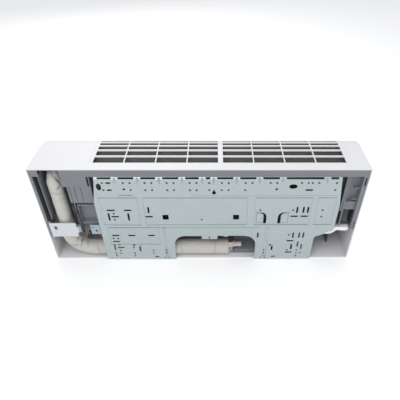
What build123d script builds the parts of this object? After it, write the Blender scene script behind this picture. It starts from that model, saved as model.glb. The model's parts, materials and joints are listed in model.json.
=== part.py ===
from build123d import *
import math
import os

# Wall-mounted indoor unit of a split air conditioner, with the steel plate that it hangs on.
# Millimetres. X runs to the right as seen from the room, depth runs from the wall into the room
# (depth = -Y) and height is measured from the underside of the casing. At export everything is
# lowered by half the casing's height, so the origin lies on the wall, at the casing's middle.

# ---------------------------------------------------------------- casing
CASE_WIDTH = 802.0
CASE_HEIGHT = 297.0
CASE_DEPTH = 189.0
WALL_GAP = 4.0            # the casing's rear rim stands this far off the wall
SHELL = 2.5               # wall of the white casing
TOP_RADIUS = 80.0         # the front is a chain of four tangent arcs, from the top to the chin
CORNER_RADIUS = 47.0
FRONT_RADIUS = 840.0
CHIN_RADIUS = 26.0
TOP_ARC_END = 60.0        # direction of the surface's normal where each arc hands over, degrees
CORNER_ARC_END = 12.0
CHIN_HEIGHT = 48.85       # height at which the slanted outlet meets the chin's arc
OUTLET_NORMAL = -52.0     # direction that the slanted outlet faces
CASE_FIT = 0.5            # clearance between the casing and what sits inside it
EDGE_ROUND = 1.5          # of the casing's two ends

# ---------------------------------------------------------------- front panel
PANEL_THICKNESS = 3.0
PANEL_GAP = 1.0           # between the panel and the casing behind it
PANEL_SEAM_ANGLE = 54.0   # the panel's hinged edge, on the corner arc
PANEL_CHIN_ANGLE = -24.0  # the panel's lower edge, on the chin arc
PANEL_BEAD_RADIUS = 2.5   # round hinged edge
PANEL_PIN_RADIUS = 1.4
PANEL_PIN_LENGTH = 2.2
PANEL_SIDE_GAP = 0.6
PIN_CLEARANCE = 0.06      # radial clearance of a small pin in its hole
DISPLAY_SIZE = (46.0, 15.0)
DISPLAY_AT = (CASE_WIDTH / 2 - 185.0, 79.0)  # x and height
BUTTON_RADIUS = 3.0
BUTTON_SUNK = 1.0         # below the casing's face
BUTTON_TRAVEL = 1.5
BUTTON_AT = (CASE_WIDTH / 2 - 101.0, 84.0)

# ---------------------------------------------------------------- intake grille in the top
DUCT_LEFT = 47.0 - CASE_WIDTH / 2     # inner faces of the chassis's end walls
DUCT_RIGHT = CASE_WIDTH / 2 - 139.0
GRILLE_LEFT = DUCT_LEFT + 7.0
GRILLE_RIGHT = DUCT_RIGHT - 8.0
GRILLE_MIDDLE = (-54.0, -42.0)
GRILLE_COLUMNS = 4        # on each side of the wide middle bar
GRILLE_RIB = 2.6
GRILLE_RIB_DEPTH = 3.0    # from the casing's outside to the ribs' lower edge
GROOVE_OUT = 8.0          # a fine groove beside the grille
GROOVE_WIDTH = 1.0
GROOVE_DEPTH = 0.6
# each row's rear edge, behind the casing's front, and its width
GRILLE_ROWS = [(161.0, 26.0), (129.5, 22.0), (102.0, 15.5), (81.5, 12.5), (64.0, 11.0)]
WINDOW_FOOT = 98.0        # height of the lower edge of the air windows behind the panel
FILTER_FOOT = 94.0

# ---------------------------------------------------------------- air outlet, louver and vanes
OUTLET_REAR_LAND = 10.6   # casing between the underside and the outlet
OUTLET_FRONT_LAND = 5.0
LOUVER_THICKNESS = 4.0
LOUVER_GAP = 2.0
LOUVER_AXIS_IN = 6.5      # the louver's axis, inward from its outer face
LOUVER_AXIS_ALONG = 9.0   # and forward from its rear edge
LOUVER_PIN_RADIUS = 1.8
LOUVER_BOSS_RADIUS = 3.6
LOUVER_MOTOR_RADIUS = 11.0
LOUVER_MOTOR_OFFSET = 8.5
VANES_PER_GROUP = 5
VANE_PITCH = 58.0
VANE_THICKNESS = 1.6
VANE_HEIGHT = 38.0
VANE_REACH = (-18.0, 20.0)  # vane behind and ahead of its axis, along the duct floor
VANE_PIN_RADIUS = 1.6
VANE_AXIS_ALONG = 58.0    # from the start of the duct floor
VANE_CRANK = 12.0         # from the vane's axis to its link pin
VANE_RAIL_THICKNESS = 3.0
VANE_RAIL_HALF = 7.0
VANE_BASE_GAP = 0.5
LINK_PIN_RADIUS = 1.2
LINK_HALF = 3.5
LINK_THICKNESS = 2.4

# ---------------------------------------------------------------- fan
FAN_AXIS = (WALL_GAP + CASE_DEPTH - 93.0, 116.0)  # depth and height
FAN_RADIUS = 44.0
FAN_INNER_RADIUS = 35.0
FAN_BLADES = 30
FAN_BLADE_THICKNESS = 1.3
FAN_SEGMENTS = 7
FAN_DISC = 2.0
FAN_END_GAP = 5.0
FAN_SHAFT_RADIUS = 4.0
SHAFT_CLEARANCE = 0.08
BEARING_RADIUS = 11.0
MOTOR_RADIUS = 36.0
MOTOR_LENGTH = 36.0
MOTOR_GAP = 6.0

# ---------------------------------------------------------------- chassis
WALL = 2.5
SCROLL_START = (150.0, 7.0)   # degrees round the fan, and the gap between fan and scroll there
SCROLL_END = (228.0, 18.0)
BACK_WALL = 19.5          # depth of the wall behind the fan
RECESS_TOP = 109.0        # height of the chassis's lower edge, above the recess for the pipes
REAR_FACE = 4.6           # depth of the chassis's rearmost faces
BAND_THICKNESS = 2.0
TROUGH_FLOOR = 170.0
TROUGH_FRONT = 53.5
BAND_RIGHT = CASE_WIDTH / 2 - 73.0
BAY_LEFT = CASE_WIDTH / 2 - 89.0    # channel for the pipes at the right-hand end
BAY_RIGHT = CASE_WIDTH / 2 - 19.0
BAY_DEPTH = 51.0

# ---------------------------------------------------------------- heat exchanger
COIL_THICKNESS = 20.0
# middle line of each finned slab, from end to end, in depth and height
FRONT_COIL = ((WALL_GAP + CASE_DEPTH - 31.0, 90.0), (WALL_GAP + CASE_DEPTH - 37.0, 184.0))
TOP_COIL = ((WALL_GAP + CASE_DEPTH - 40.0, 192.0), (WALL_GAP + CASE_DEPTH - 81.0, CASE_HEIGHT - 35.0))
REAR_COIL = ((WALL_GAP + CASE_DEPTH - 107.0, CASE_HEIGHT - 37.0), (38.0, 192.0))
TUBE_EDGE = 10.0          # least distance from a slab's end to the first tube
TUBE_RADIUS = 3.5
TUBE_FIT = 0.1
TUBE_ROW_OFFSET = 5.0     # two rows of tubes, either side of the slab's middle
TUBE_PITCH = 20.0
TUBE_OUT = 3.0            # straight tube outside the end plates
COIL_PLATE = 1.2

# ---------------------------------------------------------------- mounting plate
PLATE_THICKNESS = 1.0
PLATE_TOP = CASE_HEIGHT - 26.5
PLATE_RIGHT = DUCT_RIGHT - 1.0
PLATE_FOOT = 2.0
FLANGE_RISE = 7.5         # the top edge, bent towards the unit at 45 degrees
FLANGE_REACH = (-334.5, 249.5)
HOOK_FIT = 0.15
EMBOSS = 0.8
BEND_GUSSETS = [201.0, 148.0, 97.0, 43.0, -5.0, -32.0, -86.0, -140.0, -195.0, -300.0]
GUSSET_HALF = 6.0
GUSSET_LENGTH = 18.0
WINDOW_RISE = (0.6, 4.2)  # windows in that bent edge, above the plate's top
PLATE_HOLE = 2.5          # radius of the many small fixing holes
SLOT_WIDTH = 4.6
FLAP_SIZE = (28.0, 37.0)  # two flaps with one round corner
FLAP_CORNER = 15.0
FLAP_SLIT = 1.4           # cut along a flap's top
FLAP_GAP = 7.0            # and down its side
WALL_SCREW_HOLE = 3.0
WALL_SCREW_X = 182.0
WALL_SCREW_Z = 94.0       # above and below the middle of the casing

# ---------------------------------------------------------------- pipes
BUNDLE_RADIUS = 21.5      # both refrigerant pipes in foam, wrapped in tape
BUNDLE_NECK = 17.5        # the same above the clamp, without the spare foam
BUNDLE_DEPTH = 25.6
BUNDLE_HEIGHT = 25.5
BUNDLE_X = CASE_WIDTH / 2 - 47.0      # the run down the side
BUNDLE_TOP = CASE_HEIGHT - 32.0
BUNDLE_START = 88.0       # depth at which the wrapping starts, over the electrical box
BUNDLE_END = -71.0
BUNDLE_LOWER_BEND = 46.0
BUNDLE_UPPER_BEND = 27.0
GAS_PIPE_RADIUS = 4.8
LIQUID_PIPE_RADIUS = 3.2
GAS_OFFSET = 8.0          # of the gas pipe's axis above the bundle's, and the liquid pipe's below
LIQUID_OFFSET = -12.5
CLAMP_X = (CASE_WIDTH / 2 - 79.0, CASE_WIDTH / 2 - 15.0)
CLAMP_Z = (86.0, 132.0)
CLAMP_DEPTH = (1.0, 3.4)
HINGE_X = CLAMP_X[1] + 2.5          # of the clamp
HINGE_DEPTH = 3.5
HINGE_PIN = 1.2
KNUCKLE = 2.5
PAN_FRONT = WALL_GAP + CASE_DEPTH - 14.5     # outside of the drain pan's front wall
PAN_WIDTH = 32.0
PAN_WALL = 2.5
DRAIN_SPOUT = (PAN_FRONT - PAN_WIDTH / 2 + 0.5, 84.0)
HOSE_RADIUS = 8.0
HOSE_LOW = (FAN_AXIS[0] - 20.0, 14.0)   # the hose's run behind the outlet
NUT_FIT = 0.05
WIRE_RADIUS = 1.1
WIRE_PITCH = 3.0
WIRE_BEND = 3.5
LEDGE_DEPTH = (21.0, 23.5)          # low ledge at the foot of the recess
LEDGE_RISE = 13.0
LEDGE_X = (-250.0, BUNDLE_END - 14.0)
RIB = 2.0
FOAM_DEPTH = (10.0, FAN_AXIS[0] - 64.0)     # foam strip at the recess's left-hand end, up to the scroll

# ---------------------------------------------------------------- electrical box
BOX_X = (CASE_WIDTH / 2 - 83.0, CASE_WIDTH / 2 - 9.0)
BOX_DEPTH = (60.0, WALL_GAP + CASE_DEPTH - 43.0)
BOX_Z = (40.0, CASE_HEIGHT - 71.0)
BOX_WALL = 2.0
BOARD_DEPTH = BOX_DEPTH[0] + 6.0
BOARD_THICKNESS = 1.6

BACK = WALL_GAP
FRONT = WALL_GAP + CASE_DEPTH
HALF = CASE_WIDTH / 2
INSIDE = HALF - SHELL
TOP = CASE_HEIGHT
BAND_FOOT = PLATE_TOP + REAR_FACE + HOOK_FIT   # the band on the chassis that hooks over the plate


SCREW_RADIUS = 1.5
SCREW_HEAD_RADIUS = 3.4
SCREW_HEAD = 1.8
SCREW_LENGTH = 5.5
CLAMP_FOOT = 4.0          # thickness of the motor clamp's feet
FOOT_SCREW = 44.5
FOOT_OUT = (38.5, 50.0)   # the feet, above and below the fan's axis
COIL_SCREWS = [(44.0, TROUGH_FLOOR + 7.0), (FRONT_COIL[0][0] - 20.5, 94.0)]   # depth and height
# face under each screw's head, the side that the head is on, and the screw's depth and height
SCREWS = [(DUCT_RIGHT + WALL + CLAMP_FOOT, 1, (FAN_AXIS[0], FAN_AXIS[1] + side * FOOT_SCREW)) for side in (-1, 1)]
SCREWS += [(DUCT_RIGHT + WALL + COIL_PLATE, 1, spot) for spot in COIL_SCREWS]
SCREWS += [(DUCT_LEFT - WALL - COIL_PLATE, -1, spot) for spot in COIL_SCREWS]


# ================================================================ helpers
def rect(a_low, a_high, b_low, b_high):
    return Pos((a_low + a_high) / 2, (b_low + b_high) / 2) * Rectangle(a_high - a_low, b_high - b_low)


def outline(*points):
    return make_face(Polyline(*points, close=True))


def along_x(section, x_low, x_high):
    """A section drawn in depth and height, run from x_low to x_high."""
    plane = Plane(origin=(x_high, 0, 0), x_dir=(0, -1, 0), z_dir=(-1, 0, 0))
    return extrude(plane * section, amount=x_high - x_low)


def from_wall(face, depth_low, depth_high):
    """A face drawn in x and height, run through a range of depth."""
    return extrude(Plane.XZ.offset(depth_low) * face, amount=depth_high - depth_low)


def block(x_low, x_high, depth_low, depth_high, z_low, z_high):
    return from_wall(rect(x_low, x_high, z_low, z_high), depth_low, depth_high)


def rod_x(x_low, x_high, centre, radius):
    rod = Cylinder(radius, x_high - x_low, align=(Align.CENTER, Align.CENTER, Align.MIN))
    return Pos(x_low, -centre[0], centre[1]) * Rot(0, 90, 0) * rod


def rod_depth(x, depth_low, depth_high, height, radius):
    return from_wall(Pos(x, height) * Circle(radius), depth_low, depth_high)


def polar(centre, radius, degrees):
    angle = math.radians(degrees)
    return (centre[0] + radius * math.cos(angle), centre[1] + radius * math.sin(angle))


def point(x, depth, height):
    return Vector(x, -depth, height)


def route(points, radius):
    """A path through the points, with every corner rounded by a tangent arc."""
    edges = []
    start = points[0]
    for before, corner, after in zip(points, points[1:], points[2:]):
        arriving = (corner - before).normalized()
        leaving = (after - corner).normalized()
        turn = math.radians(arriving.get_angle(leaving))
        reach = radius * math.tan(turn / 2)
        arc_start = corner - arriving * reach
        arc_end = corner + leaving * reach
        inward = (leaving - arriving).normalized()
        middle = corner + inward * (radius / math.cos(turn / 2) - radius)
        edges.append(Line(start, arc_start))
        edges.append(ThreePointArc(arc_start, middle, arc_end))
        start = arc_end
    edges.append(Line(start, points[-1]))
    return Wire([edge.edges()[0] for edge in edges])


def pipe(path, radius):
    face = Plane(origin=path @ 0, z_dir=path % 0) * Circle(radius)
    return sweep(face, path=path)


# ================================================================ the casing's profile
def profile_arcs():
    """Centre, radius and end directions of the front's arcs, in depth and height."""
    radii = [TOP_RADIUS, CORNER_RADIUS, FRONT_RADIUS, CHIN_RADIUS]
    rise = [math.sin(math.radians(turn)) for turn in (90.0, TOP_ARC_END, CORNER_ARC_END, OUTLET_NORMAL)]
    # the front's arc ends where the chin's arc, drawn from there, comes down to its height
    chin = CHIN_HEIGHT - TOP + TOP_RADIUS * (rise[0] - rise[1]) + CORNER_RADIUS * (rise[1] - rise[2])
    chin += FRONT_RADIUS * rise[2] - CHIN_RADIUS * rise[3]
    front_arc_end = math.degrees(math.asin(chin / (FRONT_RADIUS - CHIN_RADIUS)))
    turns = [90.0, TOP_ARC_END, CORNER_ARC_END, front_arc_end, OUTLET_NORMAL]
    centre = (0.0, TOP - TOP_RADIUS)
    centres = [centre]
    for radius, following, turn in zip(radii, radii[1:], turns[1:]):
        centre = polar(centre, radius - following, turn)
        centres.append(centre)
    shift = FRONT - FRONT_RADIUS - centres[2][0]
    return [((c[0] + shift, c[1]), r, a, b) for c, r, a, b in zip(centres, radii, turns, turns[1:])]


ARCS = profile_arcs()


def on_profile(inset, angle):
    for centre, radius, first, last in ARCS:
        if first >= angle >= last:
            return polar(centre, radius - inset, angle)


def front_angle(height):
    """Direction of the front's normal at a height on its long arc."""
    centre, radius = ARCS[2][:2]
    return math.degrees(math.asin((height - centre[1]) / radius))


def curve(inset, first, last):
    """The profile's edges between two directions, moved inward."""
    edges = []
    for centre, radius, start, end in ARCS:
        start = min(start, first)
        end = max(end, last)
        if start > end:
            ends = [polar(centre, radius - inset, a) for a in (start, (start + end) / 2, end)]
            edges.append(ThreePointArc(*ends))
    return edges


def outlet_point(along, inward):
    """A point on the slanted outlet, from the underside's edge, in depth and height."""
    chin = on_profile(0, OUTLET_NORMAL)
    direction = polar((0, 0), 1.0, OUTLET_NORMAL + 90)
    inner = polar((0, 0), 1.0, OUTLET_NORMAL + 180)
    back = chin[1] / direction[1]
    foot = (chin[0] - direction[0] * back, 0.0)
    return (foot[0] + direction[0] * along + inner[0] * inward,
            direction[1] * along + inner[1] * inward)


OUTLET_LENGTH = math.dist(outlet_point(0, 0), on_profile(0, OUTLET_NORMAL))


def region(inset, rear):
    """Everything inside the profile, moved inward, from a given depth to the front."""
    chin = on_profile(inset, OUTLET_NORMAL)
    slope = polar((0, 0), 1.0, OUTLET_NORMAL + 90)
    foot = (chin[0] - slope[0] * (chin[1] - inset) / slope[1], inset)
    top = on_profile(inset, 90)
    edges = curve(inset, 90, OUTLET_NORMAL)
    edges.append(Polyline(chin, foot, (rear, inset), (rear, TOP - inset), top))
    return make_face([e for piece in edges for e in piece.edges()])


def band(outer, inner, first, last, rear=None):
    """A strip that follows the profile between two insets."""
    edges = curve(outer, first, last) + curve(inner, first, last)
    edges.append(Line(on_profile(outer, last), on_profile(inner, last)))
    if rear is None:
        edges.append(Line(on_profile(outer, first), on_profile(inner, first)))
    else:
        edges.append(Polyline(on_profile(outer, 90), (rear, TOP - outer), (rear, TOP - inner),
                              on_profile(inner, 90)))
    return make_face([e for piece in edges for e in piece.edges()])


# ================================================================ casing, panel, filters
PANEL_AXIS = on_profile(PANEL_BEAD_RADIUS, PANEL_SEAM_ANGLE)
SKIN_BACK = PANEL_THICKNESS + PANEL_GAP    # the casing's face behind the panel


def grille_columns():
    columns = []
    for low, high in ((GRILLE_LEFT, GRILLE_MIDDLE[0]), (GRILLE_MIDDLE[1], GRILLE_RIGHT)):
        pitch = (high - low + GRILLE_RIB) / GRILLE_COLUMNS
        columns += [(low + i * pitch, low + (i + 1) * pitch - GRILLE_RIB) for i in range(GRILLE_COLUMNS)]
    return columns


def case_block():
    """The casing's outside, with its two ends rounded off."""
    outer = along_x(region(0, BACK), -HALF, HALF)
    ends = outer.faces().filter_by(Axis.X)
    edges = [edge for end in ends for edge in end.edges() if edge.center().Y < -BACK - 0.1]
    return fillet(edges, EDGE_ROUND)


def make_case():
    outer = case_block()
    bead_gap = PANEL_BEAD_RADIUS + PANEL_GAP
    recess = band(-5, SKIN_BACK, PANEL_SEAM_ANGLE, PANEL_CHIN_ANGLE - 2)
    recess += Pos(*PANEL_AXIS) * Circle(bead_gap)
    case = outer - along_x(recess, -INSIDE, INSIDE)
    hollow = region(SHELL, BACK - 1)
    hollow -= band(-5, SKIN_BACK + SHELL, PANEL_SEAM_ANGLE + 4, PANEL_CHIN_ANGLE - 8)
    hollow -= Pos(*PANEL_AXIS) * Circle(bead_gap + SHELL)
    case -= along_x(hollow, -INSIDE, INSIDE)
    pad = band(SHELL - 0.5, GRILLE_RIB_DEPTH, 90, TOP_ARC_END + 1, rear=BACK + 24)
    case += along_x(pad, GRILLE_LEFT - 6, GRILLE_RIGHT + 6)
    groove = band(-1, GROOVE_DEPTH, 90, TOP_ARC_END + 1, rear=BACK + 24)
    for x in (GRILLE_LEFT - GROOVE_OUT, GRILLE_RIGHT + GROOVE_OUT):
        case -= along_x(groove, x - GROOVE_WIDTH / 2, x + GROOVE_WIDTH / 2)
    holes = []
    for low, high in grille_columns():
        for start, width in GRILLE_ROWS:
            holes.append(block(low, high, FRONT - start, FRONT - start + width, TOP - 40, TOP + 1))
    window = band(2, 12, 38, front_angle(WINDOW_FOOT))
    for low, high in ((GRILLE_LEFT, GRILLE_MIDDLE[0]), (GRILLE_MIDDLE[1], GRILLE_RIGHT)):
        holes.append(along_x(window, low, high))
    rear = outlet_point(OUTLET_REAR_LAND, -5)
    front = outlet_point(OUTLET_LENGTH - OUTLET_FRONT_LAND, -5)
    outlet = outline(rear, front, outlet_point(OUTLET_LENGTH - OUTLET_FRONT_LAND, 12),
                     outlet_point(OUTLET_REAR_LAND, 12))
    holes.append(along_x(outlet, GRILLE_LEFT, GRILLE_RIGHT))
    pin_hole = PANEL_PIN_RADIUS + PIN_CLEARANCE
    holes.append(rod_x(-INSIDE - PANEL_PIN_LENGTH, INSIDE + PANEL_PIN_LENGTH, PANEL_AXIS, pin_hole))
    holes.append(rod_depth(BUTTON_AT[0], FRONT - 30, FRONT, BUTTON_AT[1], BUTTON_RADIUS + 0.1))
    low, high = DISPLAY_SIZE[0] / 2, DISPLAY_SIZE[1] / 2
    holes.append(block(DISPLAY_AT[0] - low, DISPLAY_AT[0] + low, FRONT - 30, FRONT,
                       DISPLAY_AT[1] - high, DISPLAY_AT[1] + high))
    return case - holes


def make_panel():
    section = band(0, PANEL_THICKNESS, PANEL_SEAM_ANGLE, PANEL_CHIN_ANGLE)
    section += Pos(*PANEL_AXIS) * Circle(PANEL_BEAD_RADIUS)
    edge = INSIDE - PANEL_SIDE_GAP
    panel = along_x(section, -edge, edge)
    reach = edge + PANEL_SIDE_GAP + PANEL_PIN_LENGTH - 0.2
    panel += rod_x(-reach, reach, PANEL_AXIS, PANEL_PIN_RADIUS)
    low, high = DISPLAY_SIZE[0] / 2 + CASE_FIT / 5, DISPLAY_SIZE[1] / 2 + CASE_FIT / 5
    panel -= block(DISPLAY_AT[0] - low, DISPLAY_AT[0] + low, FRONT - 20, FRONT + 5,
                   DISPLAY_AT[1] - high, DISPLAY_AT[1] + high)
    return panel


def make_display_lens():
    section = along_x(band(0, PANEL_THICKNESS, PANEL_SEAM_ANGLE, PANEL_CHIN_ANGLE), -HALF, HALF)
    low, high = DISPLAY_SIZE[0] / 2, DISPLAY_SIZE[1] / 2
    return section & block(DISPLAY_AT[0] - low, DISPLAY_AT[0] + low, FRONT - 20, FRONT + 5,
                           DISPLAY_AT[1] - high, DISPLAY_AT[1] + high)


def make_display_board():
    depth = on_profile(SKIN_BACK + SHELL, 0)[0] - 4.0
    x, z = DISPLAY_AT
    board = block(x - 30, x + 30, depth - 1.6, depth, z - 12, z + 12)
    return board + block(x - 18, x + 18, depth, depth + 4.5, z - 5, z + 5)


def make_button():
    face = on_profile(SKIN_BACK, 0)[0]
    collar = face - SHELL - BUTTON_TRAVEL
    button = rod_depth(BUTTON_AT[0], collar - 4, face - BUTTON_SUNK, BUTTON_AT[1], BUTTON_RADIUS)
    return button + rod_depth(BUTTON_AT[0], collar - 4, collar - 2, BUTTON_AT[1], BUTTON_RADIUS + 1.5)


def filter_windows():
    """First and last direction of each row of windows in the filter's frame."""
    top = CORNER_ARC_END - 1
    foot = front_angle(FILTER_FOOT) + 0.3
    step = (top - foot) / 3
    front = [(top - i * step, top - (i + 1) * step + 0.3) for i in range(3)]
    return [(88, 50), (47, CORNER_ARC_END + 2)] + front


def make_filter(low, high):
    """Mesh held in a thin frame, bent over the heat exchanger."""
    frame = along_x(band(8.8, 10.4, 90, front_angle(FILTER_FOOT), rear=BACK + 26), low, high)
    columns = 4
    pitch = (high - low) / columns
    for i in range(columns):
        for first, last in filter_windows():
            opening = band(7.6, 9.4, first, last)
            frame -= along_x(opening, low + i * pitch + 3, low + (i + 1) * pitch - 3)
            opening = band(9.8, 11.6, first, last)
            frame -= along_x(opening, low + i * pitch + 3, low + (i + 1) * pitch - 3)
    return frame


# ================================================================ chassis
def scroll_radius(angle):
    part = (angle - SCROLL_START[0]) / (SCROLL_END[0] - SCROLL_START[0])
    return FAN_RADIUS + SCROLL_START[1] + part * (SCROLL_END[1] - SCROLL_START[1])


SCROLL_EXIT = polar(FAN_AXIS, scroll_radius(SCROLL_END[0]), SCROLL_END[0])
FLOOR_ANGLE = SCROLL_END[0] + 90 - 360       # direction of the duct floor


def duct_point(along, above):
    """A point over the duct's floor, in depth and height."""
    ahead = polar(SCROLL_EXIT, along, FLOOR_ANGLE)
    return polar(ahead, above, FLOOR_ANGLE + 90)


def duct_length():
    """From the scroll's exit to the casing's inner face."""
    rear = outlet_point(0, SHELL + CASE_FIT)
    normal = polar((0, 0), 1.0, OUTLET_NORMAL)
    heading = polar((0, 0), 1.0, FLOOR_ANGLE)
    gap = (rear[0] - SCROLL_EXIT[0]) * normal[0] + (rear[1] - SCROLL_EXIT[1]) * normal[1]
    return gap / (heading[0] * normal[0] + heading[1] * normal[1])


FLOOR_LENGTH = duct_length()


def scroll_section():
    angles = [SCROLL_START[0] + i * (SCROLL_END[0] - SCROLL_START[0]) / 6 for i in range(7)]
    inner = [polar(FAN_AXIS, scroll_radius(a), a) for a in angles]
    outer = [polar(FAN_AXIS, scroll_radius(a) + WALL, a) for a in angles]
    floor_end = duct_point(FLOOR_LENGTH, 0)
    floor_under = duct_point(FLOOR_LENGTH - WALL, -WALL)
    edges = [Spline(*inner), Line(inner[-1], floor_end), Line(floor_end, floor_under),
             Line(floor_under, outer[-1]), Spline(*outer), Line(outer[0], inner[0])]
    scroll = make_face([e for piece in edges for e in piece.edges()])
    start = inner[0]
    riser = outline(start, (start[0] - WALL, start[1] - 2), (TROUGH_FRONT, TROUGH_FLOOR),
                    (TROUGH_FRONT, TROUGH_FLOOR + 15), (TROUGH_FRONT + WALL, TROUGH_FLOOR + 15),
                    (TROUGH_FRONT + WALL, TROUGH_FLOOR))
    trough = rect(BACK_WALL, TROUGH_FRONT + 1, TROUGH_FLOOR - WALL, TROUGH_FLOOR)
    return scroll + riser + trough


def end_wall_section():
    inner = SHELL + CASE_FIT
    edge = outlet_point(0, inner)
    rear_foot = (BACK_WALL, RECESS_TOP)
    low = outline(rear_foot, (BACK_WALL, TROUGH_FLOOR + 13), (62, TROUGH_FLOOR + 13), (FAN_AXIS[0], 176),
                  (FRONT - 53, 156), (FRONT - 47, 96), (FRONT - 43, 77), (FRONT - 15, 77), (FRONT - 14.6, 60),
                  outlet_point(66, inner), (edge[0] - 4, inner), (60, inner), (52, 46), (44, 72), (36, RECESS_TOP))
    return low & region(inner, BACK_WALL)


def make_chassis():
    left, right = DUCT_LEFT - WALL, DUCT_RIGHT + WALL
    roof = TOP - SHELL - CASE_FIT
    chassis = along_x(scroll_section(), DUCT_LEFT - 0.5, DUCT_RIGHT + 0.5)
    chassis += along_x(end_wall_section(), left, DUCT_LEFT)
    chassis += along_x(end_wall_section(), DUCT_RIGHT, right)
    # wall behind the fan, and the band above it that hooks over the mounting plate
    chassis += block(left, right, BACK_WALL, BACK_WALL + WALL, RECESS_TOP, roof)
    hook = outline((REAR_FACE, BAND_FOOT), (REAR_FACE + BAND_THICKNESS, BAND_FOOT + BAND_THICKNESS),
                   (REAR_FACE + BAND_THICKNESS, roof - WALL), (BACK_WALL + 1, roof - WALL),
                   (BACK_WALL + 1, roof), (REAR_FACE, roof))
    edge = INSIDE - CASE_FIT
    chassis += along_x(hook, -edge, BAND_RIGHT)
    chassis += recess_ledge()
    chassis += left_column(roof)
    chassis += right_column(roof)
    # supports for the fan's bearing and the motor
    chassis += rod_x(left - 8, left + 0.5, FAN_AXIS, BEARING_RADIUS + WALL)
    chassis -= rod_x(left - 9, DUCT_LEFT + 1, FAN_AXIS, BEARING_RADIUS)
    chassis -= rod_x(DUCT_RIGHT - 1, right + 1, FAN_AXIS, FAN_SHAFT_RADIUS + 3)
    # holes for the louver's pins
    axis = louver_axis()
    pin_hole = LOUVER_PIN_RADIUS + PIN_CLEARANCE
    chassis -= rod_x(left - 1, DUCT_LEFT + 1, axis, pin_hole)
    chassis -= rod_x(DUCT_RIGHT - 1, right + 1, axis, pin_hole)
    chassis -= rod_x(DUCT_RIGHT - 1, right + 1, HOSE_LOW, HOSE_RADIUS + 1.5)
    return chassis - screw_holes()


def recess_ledge():
    """Low ledge at the back of the recess, and the wall that closes it off under the duct."""
    floor = SHELL + CASE_FIT
    rear, front = LEDGE_DEPTH
    ledge = block(*LEDGE_X, rear, front, floor, floor + LEDGE_RISE)
    under = [duct_point(along, -WALL / 2) for along in (6, FLOOR_LENGTH - 8)]
    top = floor + LEDGE_RISE
    foot = (SCROLL_EXIT[0] - 2, top + 6)
    shelf = outline((rear, top), foot, under[0], (under[0][0] + RIB, under[0][1]), (foot[0] + RIB, foot[1] - RIB),
                    (rear, top - RIB))
    ledge += along_x(shelf, *LEDGE_X)
    rib = outline((rear, floor), (rear, top), foot, under[0], under[1], (under[1][0], floor))
    for x in (LEDGE_X[0], sum(LEDGE_X) / 2, LEDGE_X[1] - RIB):
        ledge += along_x(rib, x, x + RIB)
    return ledge


def left_column(roof):
    """Rear flange, pocket and ledges beyond the duct's left-hand end."""
    edge = INSIDE - CASE_FIT
    wall = DUCT_LEFT - WALL
    face = (REAR_FACE, REAR_FACE + WALL)
    shelf = TROUGH_FLOOR + 22
    column = block(-edge, -edge + 11, *face, RECESS_TOP, roof)
    column -= block(-edge + 3, -edge + 7, 0, 20, roof - 46, roof - 22)
    column -= block(-edge + 3, -edge + 7, 0, 20, RECESS_TOP + 1, RECESS_TOP + 25)
    column += block(-edge + 9, -edge + 11, REAR_FACE, 40, RECESS_TOP, roof)
    column += block(-edge + 9, wall + 1, 21, 23, TROUGH_FLOOR - 3, roof)
    column += block(wall, wall + WALL, REAR_FACE, 24, RECESS_TOP + 11, roof - 1)
    column += block(wall, wall + 8, REAR_FACE + 2, BACK_WALL + 1, TROUGH_FLOOR - 3, BAND_FOOT + 6)
    column += block(-edge + 9, wall + 1, 12, 22, shelf, shelf + WALL)
    column += block(-edge + 9, wall + 1, 12, 14.5, TROUGH_FLOOR - 1, shelf + 1)
    for below in (92, 59):
        column += block(-edge + 10, -edge + 25, 10, 22, roof - below, roof - below + RIB)
    column += block(-edge + 9, wall + 1, 21, 23, RECESS_TOP, RECESS_TOP + 11)
    return column


def right_column(roof):
    """Channel for the wrapped pipes and the boxed-in corner beside it."""
    edge = INSIDE - CASE_FIT
    wall = DUCT_RIGHT
    foot = CLAMP_Z[0]
    face = (REAR_FACE, REAR_FACE + WALL)
    bay_rear = (BAY_DEPTH - 2, BAY_DEPTH)
    column = block(edge - 5.5, edge, *face, foot, roof)
    column += block(edge - 2, edge, REAR_FACE, BAY_DEPTH, foot, roof)
    column += block(BAY_RIGHT - 1.5, edge, *bay_rear, foot, roof - 56)
    column += block(BAY_RIGHT - 1.5, BAY_RIGHT, 8, BAY_DEPTH, foot + 54, roof - 19)
    column += block(BAY_RIGHT - 5, edge - 1, *face, roof - 18, roof)
    column += block(BAY_LEFT, BAY_LEFT + 2, 8, BAY_DEPTH, foot, roof)
    column += block(BAY_LEFT, BAY_RIGHT, *bay_rear, foot, roof - 56)
    column += block(wall + 24, BAY_LEFT + 1, *bay_rear, foot + 4, roof)
    # stepped faces between the mounting plate and the channel
    column += block(wall + 6, BAND_RIGHT, REAR_FACE + 0.4, 7.5, roof - 48, roof - 5)
    column += block(wall + 6, BAY_LEFT + 1, 6, 22, roof - 7.5, roof - 5)
    column += block(wall, BAY_LEFT + 8, REAR_FACE + 2, 9, roof - 98, roof - 47.5)
    for x in (wall + 25, wall + 40, wall + 51.5):
        column -= block(x - 1.2, x + 1.2, 0, 8, roof - 98, roof - 47.5)
    column += block(wall, BAY_LEFT + 1, 8, 22, roof - 100, roof - 97.5)
    low, high = foot + 40, roof - 107
    column += block(wall + 3, BAY_LEFT - 4, 8.5, 22, high - WALL, high)
    column += block(wall + 3, BAY_LEFT - 4, 8.5, 22, low, low + WALL)
    column += block(BAY_LEFT - 6, BAY_LEFT - 4, 8.5, BAY_DEPTH, low, high)
    column += block(wall, wall + WALL, REAR_FACE + 2, BACK_WALL + WALL, foot + 4, roof)
    column += block(wall, BAY_LEFT + 1, 21, 23, foot + 4, roof)
    return column


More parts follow.
